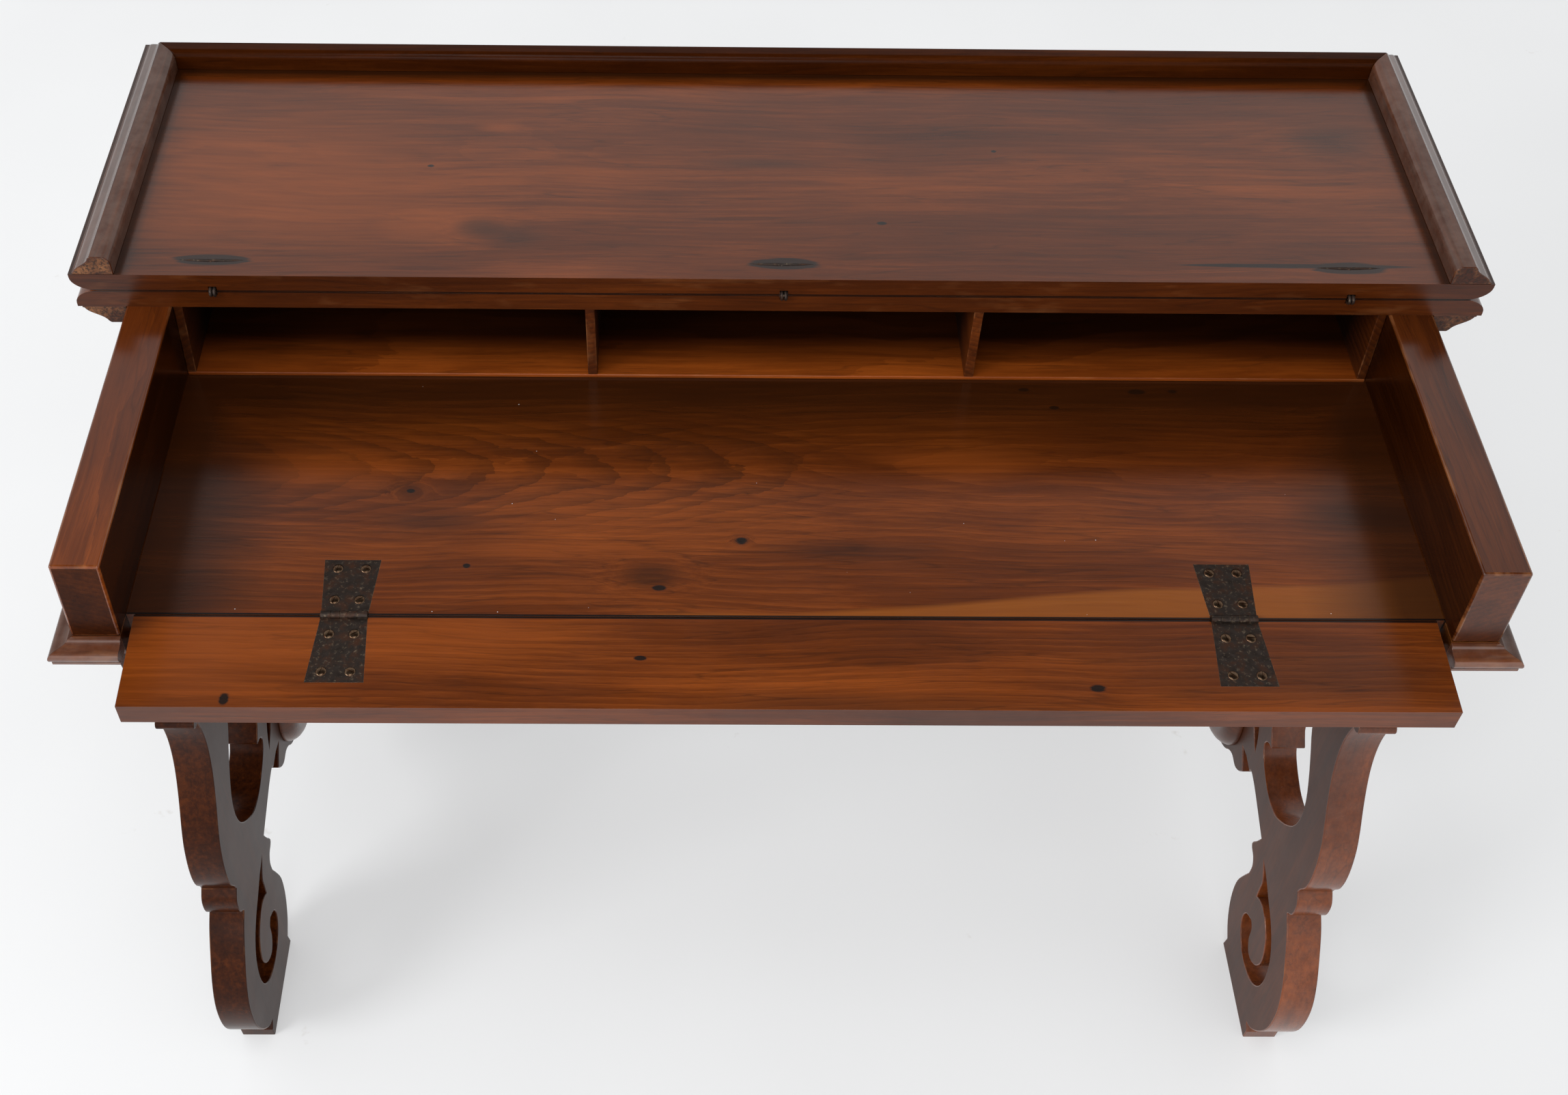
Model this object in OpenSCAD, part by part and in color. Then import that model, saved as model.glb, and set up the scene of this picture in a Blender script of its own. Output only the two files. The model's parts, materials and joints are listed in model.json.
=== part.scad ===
// Writing desk on two pierced lyre trestles. The front half of the top is a lid that folds back onto
// the fixed rear half. The front board is a flap that folds down to lengthen the writing surface.
// Drawn open: lid folded back, flap down.
// Millimetres, +Z up, +X to the sitter's right, -Y towards the sitter.

/* [Case] */
// Width of the case at the writing surface, across the outer faces of the sides
case_w = 1158; // [1000:1:1300]
// Depth of the case, from the front ends of the sides to the outer face of the back
case_d = 572; // [500:1:640]
// Height of the writing surface above the floor
surface_h = 700; // [660:1:740]
// Clear height inside, from the writing surface to the top of the sides
inside_h = 91; // [80:1:110]
// Thickness of the writing board
board_t = 24.5; // [20:0.5:28]
// Thickness of each side
side_t = 39.5; // [30:0.5:44]
// How far each side leans inwards over its height
side_lean = 3.5; // [0:0.5:6]
// Thickness of the back
back_t = 20; // [14:0.5:28]

/* [Top and lid] */
// Thickness of the fixed top
top_t = 19; // [16:0.5:24]
// How far the moulded edge of the top reaches past the case
top_reach = 42; // [36:0.5:50]
// Width of the thumbnail moulding along the edge of each board
thumb_w = 22; // [14:0.5:26]
// Height of the square fillet under the thumbnail moulding
thumb_fillet = 4; // [2:0.5:6]
// Height of the moulding below the top, which is the lid's rim when it lies open
rim_h = 20; // [14:0.5:26]
// Width of that moulding's lowest face
rim_foot = 19; // [14:0.5:22]
// Radius of the rounding along the inner edge of the lid's rim
rim_ease = 7; // [3:0.5:9]
// How far that moulding stays inside the edge of its board
rim_setback = 3.5; // [2:0.5:6]
// Clearance between the closed lid's rim and the case
rim_gap = 2.5; // [1.5:0.5:4]

/* [Base moulding] */
// How far the base moulding stands out from the case
base_out = 17.5; // [12:0.5:24]
// Height of the base moulding
base_h = 17; // [14:0.5:19]
// Gap from the top of the base moulding up to the writing surface
base_drop = 1; // [1:0.5:2]

/* [Flap] */
// How much thinner than the writing board the flap is, which clears the tops of the trestles
flap_thinner = 2.5; // [1:0.5:4]
// Gap between each end of the flap and its side, along the whole end
flap_end_gap = 6.5; // [3:0.5:9]
// Gap left above the closed flap
flap_top_gap = 1.5; // [0.5:0.5:3]
// Clearance between the face of the closed flap and the rim of the closed lid
flap_face_gap = 1; // [0.5:0.5:1.5]

/* [Pigeonholes] */
// How far the pigeonholes stand back from the fold of the top
hole_setback = 4; // [2:1:20]
// Thickness of the floor of the pigeonholes
hole_floor_t = 4; // [3:0.5:6]
// Thickness of each upright divider
divider_t = 8.5; // [7:0.5:14]
// Distance of the left divider from the middle
divider_left_x = 170; // [120:1:240]
// Distance of the right divider from the middle
divider_right_x = 174; // [120:1:240]
// Thickness of each end board
end_board_t = 8; // [6:0.5:12]

/* [Trestles] */
// Thickness of each trestle plank
leg_t = 35; // [28:0.5:45]
// Distance from the outer face of the case in to the outer face of each trestle
leg_inset = 21.5; // [0:0.5:100]
// How far the feet reach past the case, front and back
foot_reach = 57; // [40:1:62]
// Width of the square rail under the case, fixed to the inner face of each trestle
cleat_w = 30; // [20:1:40]
// Length of that rail
cleat_l = 420; // [300:5:440]

/* [Stretcher] */
// Height of the stretcher's middle line above the lowest point of the trestle's pendant
boss_up = 75; // [55:1:95]
// Radius of the turned boss at each end of the stretcher, where it meets the trestle
boss_r = 66; // [50:1:72]
// Radius of that boss where its rounded edge begins
boss_rim_r = 48; // [36:1:50]
// Length of that boss along the stretcher
boss_l = 17; // [12:1:30]
// Length of the neck and boss together
neck_l = 102; // [80:1:180]
// Radius of the stretcher's thin necks
neck_r = 17; // [12:0.5:20]
// Radius of the stretcher at its middle
belly_r = 30; // [24:0.5:40]
// Radius of the round tenon at each end
tenon_r = 13; // [10:0.5:16]

/* [Strap hinges] */
// Distance of the left hinge's middle in from the inner face of the side
hinge_left_inset = 177.5; // [120:0.5:280]
// Distance of the right hinge's middle in from the inner face of the side
hinge_right_inset = 173.5; // [120:0.5:280]
// Width of a leaf at the knuckles
leaf_w = 38; // [32:1:44]
// Width of a leaf at its far end
leaf_end_w = 47; // [44:1:56]
// Length of the leaf on the writing board
board_leaf_l = 57; // [44:1:70]
// Length of the leaf on the flap
flap_leaf_l = 65; // [44:1:72]
// Thickness of a leaf
leaf_t = 2; // [1.5:0.5:3]
// Height of the hinge pin above the writing surface
pin_rise = 1; // [0.5:0.5:2]
// Outer radius of a knuckle
knuckle_r = 3.2; // [3:0.1:5]
// Distance from a hinge's middle to the near side of each knuckle of the board leaf
knuckle_in = 3.5; // [2.5:0.5:5]
// Distance from a hinge's middle to the far side of each knuckle of the board leaf
knuckle_out = 10.5; // [8:0.5:13]
// Radius of the hinge pin
hinge_pin_r = 1.5; // [1.2:0.1:2]

/* [Loop hinges] */
// Distance of each outer loop hinge in from the inner face of the side
loop_inset = 40; // [18:1:140]
// Outer radius of an eye
eye_r = 5; // [4.5:0.1:6]
// Width of an eye
eye_w = 3; // [2.5:0.1:4]
// Radius of the pin through two eyes
loop_pin_r = 1.8; // [1.6:0.1:2.2]
// Radius of a shank
shank_r = 1.4; // [1:0.1:1.6]

/* [Screws] */
// Radius of a screw's head
head_r = 4.5; // [3:0.1:5]
// Height of a screw's domed head
head_h = 1.2; // [0.6:0.1:2]
// Radius of a screw's shank
screw_r = 1.8; // [1.2:0.1:2.4]
// Length of a screw below its leaf
screw_l = 10; // [7:0.5:11]

/* [Hidden] */
$fn = 48;

// Clearances
running = 0.05;
fold_gap = 0.3;
seam_gap = 0.4;
knuckle_gap = 0.3;
relief = 0.5;
past = 0.01;

// Heights
leg_h = surface_h - board_t;
sides_top = surface_h + inside_h;
top_z = sides_top + top_t;
lid_t = top_t - fold_gap;
fold_z = top_z + fold_gap / 2;
lid_z = top_z + fold_gap;
rim_z = lid_z + lid_t;

// Plan, with y = 0 at the fold of the top, until placed() moves the whole desk
half_w = case_w / 2;
half_d = case_d / 2;
tip_x = half_w - side_lean + top_reach;
tip_y = half_d + top_reach;
flap_t = board_t - flap_thinner;
leg_x = half_w - leg_inset - leg_t;
closed_face_y = -half_d - rim_gap + flap_face_gap;
seam_y = closed_face_y + flap_t + pin_rise;
pin_z = surface_h + pin_rise;
flap_l = inside_h - pin_rise - flap_top_gap;
holes_y = hole_setback;
back_y = half_d - back_t;
foot_y = half_d + foot_reach;

// The origin lies under the middle of the desk's outline as drawn, flap down
flap_front_y = seam_y - flap_l;
mid_y = (min(flap_front_y, -foot_y) + max(foot_y, tip_y)) / 2;
module placed() {
    translate([0, -mid_y, 0]) children();
}

// Faces of the leaning sides at height z
function lean_at(z) = side_lean * (z - surface_h) / inside_h;
function outer_x(z) = half_w - lean_at(z);
function inner_x(z) = half_w - side_t - lean_at(z);
loop_x = inner_x(sides_top) - loop_inset;
strap_left_x = hinge_left_inset - inner_x(surface_h);
strap_right_x = inner_x(surface_h) - hinge_right_inset;
strap_places = [strap_left_x, strap_right_x];

// A smooth curve through points, without its last point, so that runs join end to end
function between(a, b, c, d, t) =
    ((2 * b) + (c - a) * t + (2 * a - 5 * b + 4 * c - d) * t * t + (3 * b - a - 3 * c + d) * t * t * t) / 2;
function smooth(p, n = 3) = [
    for (i = [0 : len(p) - 2])
        for (k = [0 : n - 1])
            between(p[max(i - 1, 0)], p[i], p[i + 1], p[min(i + 2, len(p) - 1)], k / n)
];
function mirrored(p) = [for (i = [len(p) - 1 : -1 : 0]) [-p[i][0], p[i][1]]];

// Draws an outline in (y, z) as a plank from x0 to x1
module plank(x0, x1) {
    translate([x0, 0, 0]) rotate([90, 0, 90]) linear_extrude(x1 - x0) children();
}
// Draws an outline in (x, z) as a bar from y0 to y1
module bar(y0, y1) {
    translate([0, y1, 0]) rotate([90, 0, 0]) linear_extrude(y1 - y0) children();
}
module both() {
    children();
    mirror([1, 0, 0]) children();
}

// Trestle outline, in the drawing's own units, which fitted() turns to the desk's depth and height
pendant = [[0, 136], [-24, 139], [-42, 149], [-53, 162], [-64, 169], [-78, 169], [-89, 177], [-97, 189]];
hook = [[-97, 189], [-87, 199], [-77, 209], [-92, 213], [-110, 211]];
arch = [[-110, 211], [-114, 217], [-132, 215], [-157, 208], [-184, 200]];
spur = [[-184, 200], [-178, 184], [-172, 171], [-175, 165], [-184, 162], [-190, 153], [-190, 138]];
heel = [[-190, 138], [-182, 116], [-176, 95], [-176, 74], [-181, 53], [-192, 32], [-206, 18]];
foot = [[-206, 18], [-203, 0], [-312, 0], [-313, 16]];
knee = [[-306, 24], [-317, 33], [-330, 55], [-340, 82], [-343, 110], [-340, 138], [-329, 165], [-311, 192],
        [-296, 211], [-285, 221]];
roll = [[-285, 221], [-282, 225], [-289, 235], [-291, 247], [-289, 259], [-281, 268]];
breast = [[-281, 268], [-283, 276], [-289, 290], [-291, 308], [-289, 330], [-283, 354], [-274, 374],
          [-264, 392], [-254, 412], [-246, 432], [-241, 452], [-239, 472], [-240, 489], [-243, 505]];
bead = [[-243, 505], [-250, 507], [-253, 512], [-250, 517], [-243, 519]];
shoulder = [[-243, 519], [-244, 544], [-252, 585], [-266, 618], [-270, 642], [-270, 675.5]];
shoulder_end = [shoulder[len(shoulder) - 1]];
half_outline = concat(smooth(pendant), hook, smooth(arch), smooth(spur), smooth(heel), foot, smooth(knee),
                      smooth(roll), smooth(breast), smooth(bead), smooth(shoulder), shoulder_end);

drawn_foot = max([for (q = half_outline) -q[0]]);
drawn_top = max([for (q = half_outline) q[1]]);
drawn_pendant = min([for (q = pendant) q[1]]);
function fitted(p) = [for (q = p) [q[0] * foot_y / drawn_foot, q[1] * leg_h / drawn_top]];

lyre = [[-116, 275], [-121, 267], [-130, 261], [-145, 255], [-163, 251], [-186, 255], [-205, 271],
        [-220, 290], [-228, 308], [-230, 329], [-225, 350], [-213, 371], [-198, 391], [-183, 410],
        [-174, 435], [-172, 470], [-178, 510], [-188, 550], [-186, 584], [-162, 602], [-125, 603],
        [-92, 588], [-72, 556], [-64, 510], [-68, 460], [-80, 410], [-96, 365], [-109, 330], [-119, 305]];
lyre_curl = [[-119, 305], [-125, 299], [-132, 292], [-124, 288], [-118, 282], [-116, 275]];
lyre_opening = concat(smooth(lyre), smooth(lyre_curl));

volute_outer = [[-206, 192], [-224, 187], [-242, 179], [-262, 171], [-280, 158], [-293, 138], [-298, 112],
                [-294, 87], [-281, 68], [-262, 59], [-240, 59], [-223, 69], [-215, 86], [-219, 101],
                [-232, 111]];
volute_inner = [[-232, 111], [-239, 106], [-242, 90], [-252, 79], [-263, 81], [-274, 92], [-280, 109],
                [-278, 127], [-269, 143], [-257, 152], [-243, 157], [-231, 153], [-222, 146]];
volute_end = [[-222, 146], [-221, 160], [-220, 174], [-211, 186], [-206, 192]];
volute_slot = concat(smooth(volute_outer), smooth(volute_inner), smooth(volute_end));

slit_upper = [[-105, 243], [-98, 262], [-85, 282], [-67, 298], [-48, 307]];
slit_lower = [[-48, 307], [-60, 293], [-72, 275], [-82, 257], [-105, 243]];
eye_slit = concat(smooth(slit_upper), smooth(slit_lower));

module trestle_outline() {
    difference() {
        polygon(fitted(concat(half_outline, mirrored(half_outline))));
        for (hole = [lyre_opening, volute_slot, eye_slit]) {
            polygon(fitted(hole));
            polygon(fitted(mirrored(hole)));
        }
    }
}

boss_z = drawn_pendant * leg_h / drawn_top + boss_up;

module trestle() {
    difference() {
        plank(leg_x, leg_x + leg_t) trestle_outline();
        translate([leg_x - past, 0, boss_z])
            rotate([0, 90, 0]) cylinder(r = tenon_r, h = leg_t + 2 * past);
    }
}
module left_trestle() {
    color("saddlebrown") placed() mirror([1, 0, 0]) trestle();
}
module right_trestle() {
    color("saddlebrown") placed() trestle();
}

module cleat() {
    translate([leg_x - cleat_w, -cleat_l / 2, leg_h - cleat_w]) cube([cleat_w, cleat_l, cleat_w]);
}
module left_cleat() {
    color("peru") placed() mirror([1, 0, 0]) cleat();
}
module right_cleat() {
    color("peru") placed() cleat();
}

// Half of the turned stretcher's outline: radius against distance from the middle
collar_r = (neck_r + boss_rim_r) / 2;
belly = [[belly_r, 0], [belly_r - 1, leg_x * 0.12], [(belly_r + neck_r) / 2, leg_x * 0.3],
         [neck_r, leg_x - neck_l]];
neck = [[neck_r, leg_x - neck_l], [neck_r + 2, leg_x - neck_l * 0.67], [neck_r + 7, leg_x - neck_l * 0.36],
        [collar_r, leg_x - boss_l]];
stretcher_half = concat(
    [[0, 0]], smooth(belly), smooth(neck), [[collar_r, leg_x - boss_l]],
    [for (a = [0 : 15 : 90]) [boss_rim_r + (boss_r - boss_rim_r) * sin(a), leg_x - boss_l * cos(a)]],
    [[tenon_r, leg_x], [tenon_r, leg_x + leg_t], [0, leg_x + leg_t]]);

module stretcher() {
    color("saddlebrown") placed() translate([0, 0, boss_z]) both()
        rotate([0, 90, 0]) rotate_extrude() polygon(stretcher_half);
}

// The writing board carries the sides on its ends, which reach forward beside the flap
module strap_reliefs() {
    for (x = strap_places)
        translate([x - leaf_w / 2 - relief, seam_y, pin_z])
            rotate([0, 90, 0]) cylinder(r = knuckle_r + relief, h = leaf_w + 2 * relief);
}
module leaf_outline(len, side) {
    polygon([[-leaf_w / 2, 0], [-leaf_end_w / 2, side * len], [leaf_end_w / 2, side * len], [leaf_w / 2, 0]]);
}
module leaf_pockets(len, side) {
    for (x = strap_places)
        translate([x, seam_y, surface_h - leaf_t]) linear_extrude(leaf_t + 1) leaf_outline(len, side);
}
// Two pairs of screws on a leaf: how far along it, as a share of its length, and how far in from its edge
screw_pairs = [[0.28, 10], [0.84, 11.2]];
function leaf_screws(len, side) = [
    for (p = screw_pairs)
        for (s = [-1, 1])
            [s * (leaf_w / 2 - p[1] + p[0] * (leaf_end_w - leaf_w) / 2), side * len * p[0]]
];
module at_screws(len, side) {
    for (x = strap_places)
        for (p = leaf_screws(len, side))
            translate([x + p[0], seam_y + p[1], surface_h]) children();
}
module screw_holes() {
    translate([0, 0, -screw_l - leaf_t]) cylinder(r = screw_r, h = screw_l + leaf_t + 1);
}
module writing_board() {
    front = seam_y + seam_gap;
    color("sienna") placed() difference() {
        translate([0, 0, leg_h]) linear_extrude(board_t)
            polygon([[-half_w, half_d], [half_w, half_d], [half_w, -half_d], [half_w - side_t, -half_d],
                     [half_w - side_t, front], [-half_w + side_t, front], [-half_w + side_t, -half_d],
                     [-half_w, -half_d]]);
        strap_reliefs();
        leaf_pockets(board_leaf_l, 1);
        at_screws(board_leaf_l, 1) screw_holes();
    }
}

module side() {
    bar(-half_d, half_d)
        polygon([[inner_x(surface_h), surface_h], [outer_x(surface_h), surface_h],
                 [outer_x(sides_top), sides_top], [inner_x(sides_top), sides_top]]);
}
module left_side() {
    color("saddlebrown") placed() mirror([1, 0, 0]) side();
}
module right_side() {
    color("saddlebrown") placed() side();
}

module back_board() {
    color("sienna") placed() bar(back_y, half_d)
        polygon([[-inner_x(surface_h), surface_h], [inner_x(surface_h), surface_h],
                 [inner_x(sides_top), sides_top], [-inner_x(sides_top), sides_top]]);
}

// Base moulding, out from the case and up from its lower edge: a fillet, a half round and a cove
base_z = surface_h - base_drop - base_h;
base_fillet = base_h * 0.18;
base_round = base_h * 0.3;
base_quirk = 2;
base_top_w = 3;
base_top_edge = 0.8;
base_cove_w = base_out - base_round - base_quirk - base_top_w;
base_cove_h = base_h - base_fillet - 2 * base_round - base_top_edge;
function base_profile() = concat(
    [[0, 0], [base_out - base_quirk, 0], [base_out - base_quirk, base_fillet]],
    [for (a = [-90 : 22.5 : 90])
        [base_out - base_round + base_round * cos(a), base_fillet + base_round + base_round * sin(a)]],
    [for (a = [0 : 22.5 : 90])
        [base_top_w + base_cove_w * (1 - sin(a)),
         base_fillet + 2 * base_round + base_cove_h * (1 - cos(a))]],
    [[base_top_w, base_h], [0, base_h]]);

// What a moulding loses at its mitre: all that lies past the line through a corner of the case
module mitre(x, y, turn) {
    reach = 4 * top_reach;
    translate([x, y, 0]) rotate([0, 0, turn]) linear_extrude(2 * top_z)
        polygon([[0, 0], [reach, 0], [reach, reach]]);
}
module base_moulding_side() {
    far = half_d + base_out;
    difference() {
        bar(-far, far) translate([half_w, base_z]) polygon(base_profile());
        mitre(half_w, -half_d, -90);
        mitre(half_w, half_d, 45);
    }
}
module base_moulding_left() {
    color("chocolate") placed() mirror([1, 0, 0]) base_moulding_side();
}
module base_moulding_right() {
    color("chocolate") placed() base_moulding_side();
}
module base_moulding_back() {
    far = half_w + base_out;
    color("chocolate") placed() difference() {
        plank(-far, far) translate([half_d, base_z]) polygon(base_profile());
        both() mitre(half_w, half_d, 0);
    }
}
module base_moulding_returns() {
    far = half_w + base_out;
    color("chocolate") placed() both() difference() {
        plank(half_w - side_t, far) translate([-half_d, base_z]) mirror([1, 0]) polygon(base_profile());
        mitre(half_w, -half_d, -45);
    }
}

module pigeonhole_floor() {
    z = surface_h;
    color("sienna") placed() bar(holes_y, back_y)
        polygon([[-inner_x(z), z], [inner_x(z), z], [inner_x(z + hole_floor_t), z + hole_floor_t],
                 [-inner_x(z + hole_floor_t), z + hole_floor_t]]);
}
holes_z = surface_h + hole_floor_t;
module divider(x) {
    translate([x - divider_t / 2, holes_y, holes_z]) cube([divider_t, back_y - holes_y, sides_top - holes_z]);
}
module divider_left() {
    color("peru") placed() divider(-divider_left_x);
}
module divider_right() {
    color("peru") placed() divider(divider_right_x);
}
module end_board() {
    bar(holes_y, back_y)
        polygon([[inner_x(holes_z) - end_board_t, holes_z], [inner_x(holes_z), holes_z],
                 [inner_x(sides_top), sides_top], [inner_x(sides_top) - end_board_t, sides_top]]);
}
module end_board_left() {
    color("peru") placed() mirror([1, 0, 0]) end_board();
}
module end_board_right() {
    color("peru") placed() end_board();
}

// Thumbnail edge, from its tip inwards and from the lower face up: a quarter round over a square fillet
function thumb(t) = concat(
    [[0, 0], [0, thumb_fillet]],
    [for (a = [0 : 11.25 : 90]) [-thumb_w * (1 - cos(a)), thumb_fillet + (t - thumb_fillet) * sin(a)]]);
function moved(p, out) = [for (q = p) [q[0] + out, q[1]]];
module leaf_of_top(t) {
    intersection() {
        bar(-past, tip_y + past)
            polygon(concat(moved(thumb(t), tip_x), mirrored(moved(thumb(t), tip_x))));
        plank(-tip_x - past, tip_x + past)
            polygon(concat(moved(thumb(t), tip_y), [[fold_gap, t], [fold_gap, 0]]));
    }
}
loop_places = [-loop_x, 0, loop_x];
eyes_gap = 0.3;
eyes_w = 2 * eye_w + eyes_gap;
module loop_reliefs() {
    for (x = loop_places)
        translate([x - eyes_w / 2 - relief, 0, fold_z])
            rotate([0, 90, 0]) cylinder(r = eye_r + relief, h = eyes_w + 2 * relief);
}
// A shank leans from its eye, through the board, to where its end is bent over on the far face
shank_lean = 45;
function shank_l(t) = (t + fold_gap) / cos(shank_lean);
module shanks(t, up, r, over = 0) {
    for (x = loop_places)
        translate([x - up * (eyes_gap + eye_w) / 2, 0, fold_z])
            rotate([up > 0 ? -shank_lean : shank_lean - 180, 0, 0]) cylinder(r = r, h = shank_l(t) + over);
}
module fixed_top() {
    color("sienna") placed() difference() {
        translate([0, 0, sides_top]) leaf_of_top(top_t);
        loop_reliefs();
        shanks(top_t, -1, shank_r, 2 * top_t);
    }
}

// Moulding below the top: a fillet, a cyma down to its foot, and a back that follows the case or is eased
rim_fillet = 2;
rim_quirk = 1.5;
cyma_steps = 8;
function cyma(w, h) = [
    for (i = [0 : cyma_steps]) let (f = i / cyma_steps) [-w * (f - sin(360 * f) / 11), -h * f]
];
function rim_profile(width, lean) = concat(
    [[0, 0], [width, 0], [width, -rim_fillet]],
    [for (p = cyma(width - rim_quirk - rim_foot, rim_h - 2 * rim_fillet))
        [width - rim_quirk + p[0], p[1] - rim_fillet]],
    [[rim_foot - rim_fillet, -rim_h]],
    lean > 0 ? [[lean, -rim_h]]
             : [for (a = [0 : 22.5 : 90]) [rim_ease * (1 - sin(a)), rim_ease * (1 - cos(a)) - rim_h]]);
fixed_rim_x = outer_x(sides_top);
rim_w_fixed = top_reach - rim_setback;
rim_w_lid = top_reach - rim_setback - rim_gap;
rim_back_lean = past + lean_at(sides_top) - lean_at(sides_top - rim_h);

module fixed_moulding_side() {
    difference() {
        bar(fold_gap, half_d + top_reach) translate([fixed_rim_x, sides_top])
            polygon(rim_profile(rim_w_fixed, rim_back_lean));
        mitre(fixed_rim_x, half_d, 45);
    }
}
module top_moulding_left() {
    color("chocolate") placed() mirror([1, 0, 0]) fixed_moulding_side();
}
module top_moulding_right() {
    color("chocolate") placed() fixed_moulding_side();
}
module top_moulding_back() {
    far = fixed_rim_x + top_reach;
    color("chocolate") placed() difference() {
        plank(-far, far) translate([half_d, sides_top]) polygon(rim_profile(rim_w_fixed, past));
        both() mitre(fixed_rim_x, half_d, 0);
    }
}

// Loop hinges: two eyes side by side on one pin, each with a shank through its own board
module eye_places(x0, r, l) {
    for (x = loop_places)
        translate([x + x0, 0, fold_z]) rotate([0, 90, 0]) cylinder(r = r, h = l);
}
module loop_hinge_fixed_eyes() {
    color("dimgray") placed() difference() {
        union() {
            eye_places(eyes_gap / 2, eye_r, eye_w);
            shanks(top_t, -1, shank_r);
        }
        eye_places(-eyes_w, loop_pin_r, 2 * eyes_w);
    }
}
module loop_hinge_lid_eyes() {
    color("dimgray") placed() difference() {
        union() {
            eye_places(-eyes_w / 2, eye_r, eye_w);
            shanks(lid_t, 1, shank_r);
        }
        eye_places(-eyes_w, loop_pin_r + running, 2 * eyes_w);
    }
}
module loop_hinge_pins() {
    color("dimgray") placed() eye_places(-eyes_w / 2, loop_pin_r, eyes_w);
}

// Strap hinges have five knuckles: the board leaf's two stand between the flap leaf's three
module knuckle(x0, x1, r) {
    translate([x0, 0, pin_z]) rotate([0, 90, 0]) cylinder(r = r, h = x1 - x0);
}
module board_knuckles(r, spare) {
    both() knuckle(knuckle_in - spare, knuckle_out + spare, r);
}
module flap_knuckles(r, spare, end) {
    knuckle(spare - knuckle_in, knuckle_in - spare, r);
    both() knuckle(knuckle_out + spare, end, r);
}
module leaf_body(len, side, bore) {
    difference() {
        children();
        knuckle(-leaf_w, leaf_w, bore);
        for (p = leaf_screws(len, side))
            translate([p[0], p[1], surface_h]) screw_holes();
    }
}
module leaf_plate(len, side) {
    translate([0, 0, surface_h - leaf_t]) linear_extrude(leaf_t) leaf_outline(len, side);
}
module board_leaf() {
    leaf_body(board_leaf_l, 1, hinge_pin_r) {
        difference() {
            leaf_plate(board_leaf_l, 1);
            flap_knuckles(knuckle_r + knuckle_gap, 0, leaf_w);
        }
        board_knuckles(knuckle_r, 0);
    }
}
module flap_leaf() {
    leaf_body(flap_leaf_l, -1, hinge_pin_r + running) {
        difference() {
            leaf_plate(flap_leaf_l, -1);
            board_knuckles(knuckle_r + knuckle_gap, knuckle_gap);
        }
        flap_knuckles(knuckle_r, knuckle_gap, leaf_w / 2);
    }
}
module strap_hinge_left_board_leaf() {
    color("dimgray") placed() translate([strap_left_x, seam_y, 0]) board_leaf();
}
module strap_hinge_right_board_leaf() {
    color("dimgray") placed() translate([strap_right_x, seam_y, 0]) board_leaf();
}
module strap_hinge_left_flap_leaf() {
    color("dimgray") placed() translate([strap_left_x, seam_y, 0]) flap_leaf();
}
module strap_hinge_right_flap_leaf() {
    color("dimgray") placed() translate([strap_right_x, seam_y, 0]) flap_leaf();
}
module strap_hinge_pins() {
    color("dimgray") placed() for (x = strap_places)
        translate([x, seam_y, 0]) knuckle(-leaf_w / 2, leaf_w / 2, hinge_pin_r);
}
module screw() {
    rotate_extrude() polygon(concat(
        [for (a = [0 : 15 : 90]) [head_r * cos(a), head_h * sin(a)]],
        [[0, -screw_l - leaf_t], [screw_r, -screw_l - leaf_t], [screw_r, 0]]));
}
module board_leaf_screws() {
    color("gray") placed() at_screws(board_leaf_l, 1) screw();
}
module flap_leaf_screws() {
    color("gray") placed() at_screws(flap_leaf_l, -1) screw();
}

// Lid, lying upside down on the fixed top, with its rim upwards
module lid_board() {
    color("sienna") placed() difference() {
        translate([0, 0, lid_z + lid_t]) mirror([0, 0, 1]) leaf_of_top(lid_t);
        loop_reliefs();
        shanks(lid_t, 1, shank_r, 2 * top_t);
    }
}
lid_rim_x = fixed_rim_x + rim_gap;
lid_rim_y = half_d + rim_gap;
module lid_moulding_side() {
    difference() {
        bar(fold_gap, half_d + top_reach) translate([lid_rim_x, rim_z])
            mirror([0, 1]) polygon(rim_profile(rim_w_lid, 0));
        mitre(lid_rim_x, lid_rim_y, 45);
    }
}
module lid_moulding_left() {
    color("chocolate") placed() mirror([1, 0, 0]) lid_moulding_side();
}
module lid_moulding_right() {
    color("chocolate") placed() lid_moulding_side();
}
module lid_moulding_front() {
    far = lid_rim_x + top_reach;
    color("chocolate") placed() difference() {
        plank(-far, far) translate([lid_rim_y, rim_z]) mirror([0, 1]) polygon(rim_profile(rim_w_lid, 0));
        both() mitre(lid_rim_x, lid_rim_y, 0);
    }
}

// Flap, whose ends follow the lean of the sides when it stands closed
module flap_board() {
    near_w = inner_x(surface_h) - flap_end_gap;
    far_w = inner_x(sides_top) - flap_end_gap;
    near = seam_y - seam_gap;
    color("sienna") placed() difference() {
        translate([0, 0, surface_h - flap_t]) linear_extrude(flap_t)
            polygon([[-near_w, near], [near_w, near], [far_w, flap_front_y], [-far_w, flap_front_y]]);
        strap_reliefs();
        leaf_pockets(flap_leaf_l, -1);
        at_screws(flap_leaf_l, -1) screw_holes();
    }
}

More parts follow.
